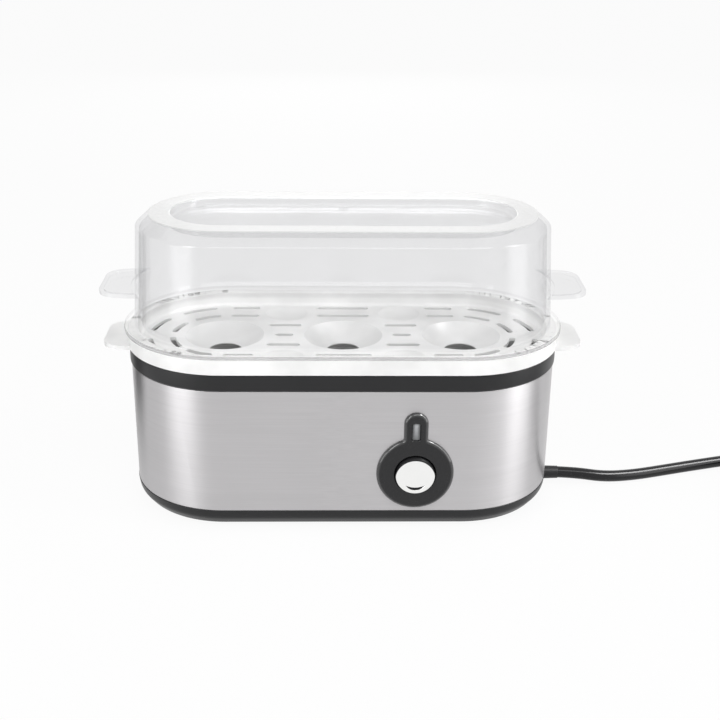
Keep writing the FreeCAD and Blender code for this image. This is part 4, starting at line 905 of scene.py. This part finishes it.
class COOKER_OT_insides(bpy.types.Operator):
    """Finishes of the pieces inside the base, of the feet and of the plug"""
    bl_idname = "cooker.insides"
    bl_label = "Inner pieces"

    def execute(self, context):
        shade = context.scene.cooker_colours.cord
        dress(bpy.data.materials["moulded_black"], "switch_body", "cord_clamp")
        dress(metal_finish("screw_steel", (0.62, 0.61, 0.60), roughness=0.32),
              "thermostat_screws", "bowl_strap", "strap_nut", "housing_screws", "button_spring",
              "switch_bracket", "bracket_screws", "clamp_screws")
        dress(metal_finish("contact_brass", (0.72, 0.56, 0.26), roughness=0.30), "element_pins")
        dress(metal_finish("spreader_aluminium", (0.70, 0.70, 0.71), roughness=0.45, uneven=0.15),
              "heat_spreader")
        dress(metal_finish("element_steel", (0.42, 0.41, 0.40), roughness=0.42, uneven=0.12),
              "heating_element")
        dress(metal_finish("pin_nickel", (0.76, 0.74, 0.70), roughness=0.22), "plug_pins")
        dress(moulded_finish("foot_rubber", (0.035, 0.035, 0.035), roughness=0.75, grain=0.2), "rubber_feet")
        dress(moulded_finish("silicone", (0.72, 0.71, 0.69), roughness=0.55), "bowl_seal")
        dress(moulded_finish("brown_plastic", (0.12, 0.075, 0.045), roughness=0.5), "thermostat")
        dress(moulded_finish("block_white", (0.80, 0.78, 0.72), roughness=0.5),
              "thermal_fuse", "terminal_block")
        dress(moulded_finish("lead_jacket", (0.55, 0.53, 0.48), roughness=0.55), "internal_leads")
        dress(moulded_finish("lamp_glass", (0.80, 0.62, 0.45), roughness=0.15), "indicator_lamp")
        dress(moulded_finish("cord_sheath", shade, roughness=0.14, grain=0.02, shine=0.30), "inner_cord")
        dress(moulded_finish("plug_black", shade, roughness=0.38, shine=0.35), "cord_grommet", "plug_body")
        dress(moulded_finish("tie_black", (0.04, 0.04, 0.042), roughness=0.6), "cord_tie")
        return {"FINISHED"}


class COOKER_OT_cord(bpy.types.Operator):
    """Mains cord on one smooth line: free stretch, coil and tail"""
    bl_idname = "cooker.cord"
    bl_label = "Mains cord"

    # In millimetres. The route is in the frame, and the tail goes on from the coil's end.
    route = ((110.0, 0.0, 6.3), (120.0, -0.3, 6.0), (134.0, -0.9, 4.0), (150.0, 2.8, 3.0), (167.0, 8.0, 3.0),
             (184.0, 13.0, 3.2), (206.0, 18.0, 4.0), (230.0, 24.0, 4.0))
    tail = ((0.0, -11.0, 0.0), (0.8, -24.0, -3.5), (0.8, -35.0, -3.5))
    outer = 35.6
    step = 6.4
    turns = 3
    points_per_turn = 16

    def coil(self, diameter):
        """Control points of the coil's turns, and where its tail begins, in millimetres."""
        end = Vector(self.route[-1])
        heading = (end - Vector(self.route[-2])).normalized()
        growth = self.step / (2 * math.pi)
        lean = math.atan(growth / self.outer)
        first = math.atan2(heading.y, heading.x) + math.pi / 2 + lean
        middle = end + heading * diameter - Vector((math.cos(first), math.sin(first), 0)) * self.outer
        whole = first + lean + 2 * math.pi * self.turns
        layer = (whole - math.pi) / 2
        inner = self.outer - growth * layer
        count = self.points_per_turn * self.turns
        points = []
        for k in range(count + 1):
            gone = whole * k / count
            past = gone - layer
            if past < 0:
                radius, rise = inner - growth * past, 0.0
            elif past < math.pi:
                radius = inner - growth * (past - past ** 2 / math.pi)
                rise = self.step * (1 - math.cos(past)) / 2
            else:
                radius, rise = inner + growth * (past - math.pi), self.step
            spoke = first - gone
            points.append(middle + Vector((radius * math.cos(spoke), radius * math.sin(spoke), rise)))
        return points, points[-1] + Vector((0, -diameter, 0))

    def execute(self, context):
        diameter = in_mm(context.scene.cooker_sizes.cord_diameter)
        turns, start = self.coil(diameter)
        points = [Vector(p) for p in self.route[:-1]] + turns + [start + Vector(p) for p in self.tail]
        curve = bpy.data.curves.new("mains_cord", "CURVE")
        curve.dimensions = "3D"
        curve.bevel_depth = diameter / 2 * MM
        curve.bevel_resolution = 6
        curve.resolution_u = 8
        curve.use_fill_caps = True
        spline = curve.splines.new("NURBS")
        spline.points.add(len(points) - 1)
        for point, place in zip(spline.points, points):
            point.co = (*(place * MM), 1.0)
        spline.order_u = 3
        spline.use_endpoint_u = True
        cord = bpy.data.objects.new("mains_cord", curve)
        context.collection.objects.link(cord)
        curve.materials.append(bpy.data.materials["cord_sheath"])
        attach(cord, "base")
        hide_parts("power_cord", "cord_coil", "cord_tail")
        return {"FINISHED"}


class COOKER_OT_stage(bpy.types.Operator):
    """Pale floor, soft lamps, even sky and the camera"""
    bl_idname = "cooker.stage"
    bl_label = "Studio"

    # Each lamp's power property, name, place, aim and size, in metres.
    lamps = (
        ("key", "key", (0.12, -0.62, 1.0), (0.0, 0.0, 0.08), (0.90, 0.42)),
        ("back", "back", (0.0, 1.25, 0.33), (0.0, 0.0, 0.14), (0.52, 0.30)),
        ("side", "left", (-0.64, -0.60, 0.42), (0.0, 0.0, 0.06), (0.26, 0.8)),
        ("side", "right", (0.81, -0.28, 0.40), (0.0, 0.0, 0.06), (0.26, 0.8)),
        ("spark", "spark", (0.74, -0.20, 1.0), (0.15, 0.0, 0.0), (0.70, 0.25)),
    )

    # Each card's name, place on the floor, width, height, in metres, and glow.
    cards = (
        ("right_card", (0.456, 0.203), 0.035, 0.4, 0.0),
        ("left_card", (-0.205, 0.06), 0.07, 0.4, 0.0),
        ("left_glow", (-0.275, -0.19), 0.24, 0.16, 3.0),
        ("right_glow", (0.33, -0.11), 0.24, 0.16, 3.0),
    )
    floor_half = 4.0
    floor_drop = 0.0002
    paper_share = 0.93

    def floor(self, context):
        """Pale floor that keeps the object's shadow."""
        finish = Finish("studio_floor")
        shade = context.scene.cooker_colours.floor
        grain = finish.noise(finish.place(), 400.0, detail=2.0)
        plain = finish.principled({
            "Base Color": finish.mix(grain, rgba(shade, 0.99), rgba(shade)),
            "Roughness": 0.6,
            "Specular IOR Level": 0.1,
        })
        paper = finish.node("ShaderNodeEmission", None, {"Color": rgba(WHITE), "Strength": 1.0})
        surface = finish.show(finish.blend(finish.rays(*SEEN) * self.paper_share, plain, paper))
        work = bmesh.new()
        bmesh.ops.create_grid(work, x_segments=8, y_segments=8, size=self.floor_half)
        floor = bpy.data.objects.new("floor", settle(work, "floor"))
        floor.data.materials.append(surface)
        floor.location.z = -self.floor_drop
        context.collection.objects.link(floor)

    @staticmethod
    def card_finish(name, width, glow):
        """Dark felt, or a glow that fades to white at both sides."""
        finish = Finish(name)
        if not glow:
            felt = finish.noise(finish.place(), 300.0, detail=2.0)
            shade = finish.mix(felt, rgba(WHITE, 0.015), rgba(WHITE, 0.03))
            return finish.show(finish.principled({"Base Color": shade, "Roughness": 0.9}))
        across = abs(finish.axes(finish.place())[0]).within(width * 0.1, width * 0.5)
        faded = finish.mix(across, rgba(WHITE), rgba(WHITE, 1.0 / glow))
        return finish.show(finish.node("ShaderNodeEmission", None, {"Color": faded, "Strength": glow}))

    def card(self, context, name, place, width, height, glow):
        """Upright card beside the object, which only shiny surfaces see."""
        work = bmesh.new()
        bmesh.ops.create_grid(work, x_segments=2, y_segments=2, size=0.5)
        mesh = settle(work, name)
        mesh.transform(Matrix.Rotation(math.pi / 2, 4, "X"))
        mesh.transform(Matrix.Diagonal((width, 1.0, height, 1.0)))
        mesh.materials.append(self.card_finish(name, width, glow))
        card = bpy.data.objects.new(name, mesh)
        card.location = (*place, height / 2)
        card.rotation_euler.z = math.atan2(place[0], -place[1])
        card.visible_camera = card.visible_diffuse = False
        card.visible_shadow = card.visible_transmission = False
        context.collection.objects.link(card)

    def sky(self, context):
        """Even sky that always shows as white."""
        world = bpy.data.worlds.new("studio_sky")
        context.scene.world = world
        finish = Finish("sky", world)
        dim, white = (finish.node("ShaderNodeBackground", None, {"Color": rgba(WHITE), "Strength": level})
                      for level in (context.scene.cooker_studio.sky, 1.0))
        finish.show(finish.blend(finish.rays(*SEEN), dim, white))

    @staticmethod
    def lamp(context, watts, name, place, aim, size):
        """A soft lamp that looks at a point."""
        light = bpy.data.lights.new(name, "AREA")
        light.shape = "RECTANGLE"
        light.size, light.size_y = size
        light.energy = watts
        lamp = bpy.data.objects.new(name, light)
        context.collection.objects.link(lamp)
        lamp.location = place
        lamp.rotation_mode = "QUATERNION"
        lamp.rotation_quaternion = (Vector(aim) - Vector(place)).to_track_quat("-Z", "Y")
        return lamp

    @staticmethod
    def gloss_only(lamp):
        """Let a lamp show in gloss alone, and pass the clear lid by."""
        lamp.visible_diffuse = False
        lamp.visible_camera = False
        passed_by = bpy.data.collections.new("passed_by")
        passed_by.objects.link(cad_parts["lid_shell"])
        passed_by.collection_objects[0].light_linking.link_state = "EXCLUDE"
        lamp.light_linking.receiver_collection = passed_by

    @staticmethod
    def camera(context):
        """Camera with the studio's place and turn."""
        studio = context.scene.cooker_studio
        data = bpy.data.cameras.new("camera")
        data.lens = studio.lens
        data.sensor_width = 36.0
        data.clip_start = 0.01
        data.clip_end = 50.0
        yaw, pitch, roll = studio.yaw, studio.pitch, studio.roll
        ahead = Vector((math.cos(pitch) * math.sin(yaw), math.cos(pitch) * math.cos(yaw), -math.sin(pitch)))
        right = Vector((math.cos(yaw), -math.sin(yaw), 0.0))
        up = right.cross(ahead)
        camera = bpy.data.objects.new("camera", data)
        context.collection.objects.link(camera)
        cosine, sine = math.cos(roll), math.sin(roll)
        turn = Matrix((right * cosine + up * sine, up * cosine - right * sine, -ahead)).transposed()
        camera.matrix_world = Matrix.Translation(studio.place) @ turn.to_4x4()
        context.scene.camera = camera

    def execute(self, context):
        studio = context.scene.cooker_studio
        self.floor(context)
        for card in self.cards:
            self.card(context, *card)
        self.sky(context)
        made = {lamp[0]: self.lamp(context, getattr(studio, watts), *lamp) for watts, *lamp in self.lamps}
        self.gloss_only(made["spark"])
        self.camera(context)
        context.scene.view_settings.view_transform = "Standard"
        return {"FINISHED"}


class COOKER_PT_panel(bpy.types.Panel):
    """Sidebar list of the cooker's pieces"""
    bl_idname = "COOKER_PT_panel"
    bl_label = "Egg cooker"
    bl_space_type = "VIEW_3D"
    bl_region_type = "UI"
    bl_category = "Cooker"

    def draw(self, context):
        for operator in OPERATORS:
            self.layout.operator(operator.bl_idname)
        for key in GROUPS:
            group = getattr(context.scene, key)
            for name in group.__annotations__:
                self.layout.prop(group, name)


GROUPS = {"cooker_sizes": CookerSizes, "cooker_colours": CookerColours, "cooker_studio": CookerStudio}
OPERATORS = (COOKER_OT_sleeve, COOKER_OT_housing, COOKER_OT_bowl, COOKER_OT_tray, COOKER_OT_lid,
             COOKER_OT_control, COOKER_OT_insides, COOKER_OT_cord, COOKER_OT_stage)


def register():
    for name, group in GROUPS.items():
        bpy.utils.register_class(group)
        setattr(bpy.types.Scene, name, PointerProperty(type=group))
    for made in OPERATORS + (COOKER_PT_panel,):
        bpy.utils.register_class(made)


def unregister():
    for made in (COOKER_PT_panel,) + OPERATORS[::-1]:
        bpy.utils.unregister_class(made)
    for name, group in GROUPS.items():
        delattr(bpy.types.Scene, name)
        bpy.utils.unregister_class(group)


def main():
    """Register the add-on and make every piece in order."""
    register()
    bpy.ops.cooker.sleeve()
    bpy.ops.cooker.housing()
    bpy.ops.cooker.bowl()
    bpy.ops.cooker.tray()
    bpy.ops.cooker.lid()
    bpy.ops.cooker.control()
    bpy.ops.cooker.insides()
    bpy.ops.cooker.cord()
    bpy.ops.cooker.stage()


if __name__ == "__main__":
    main()
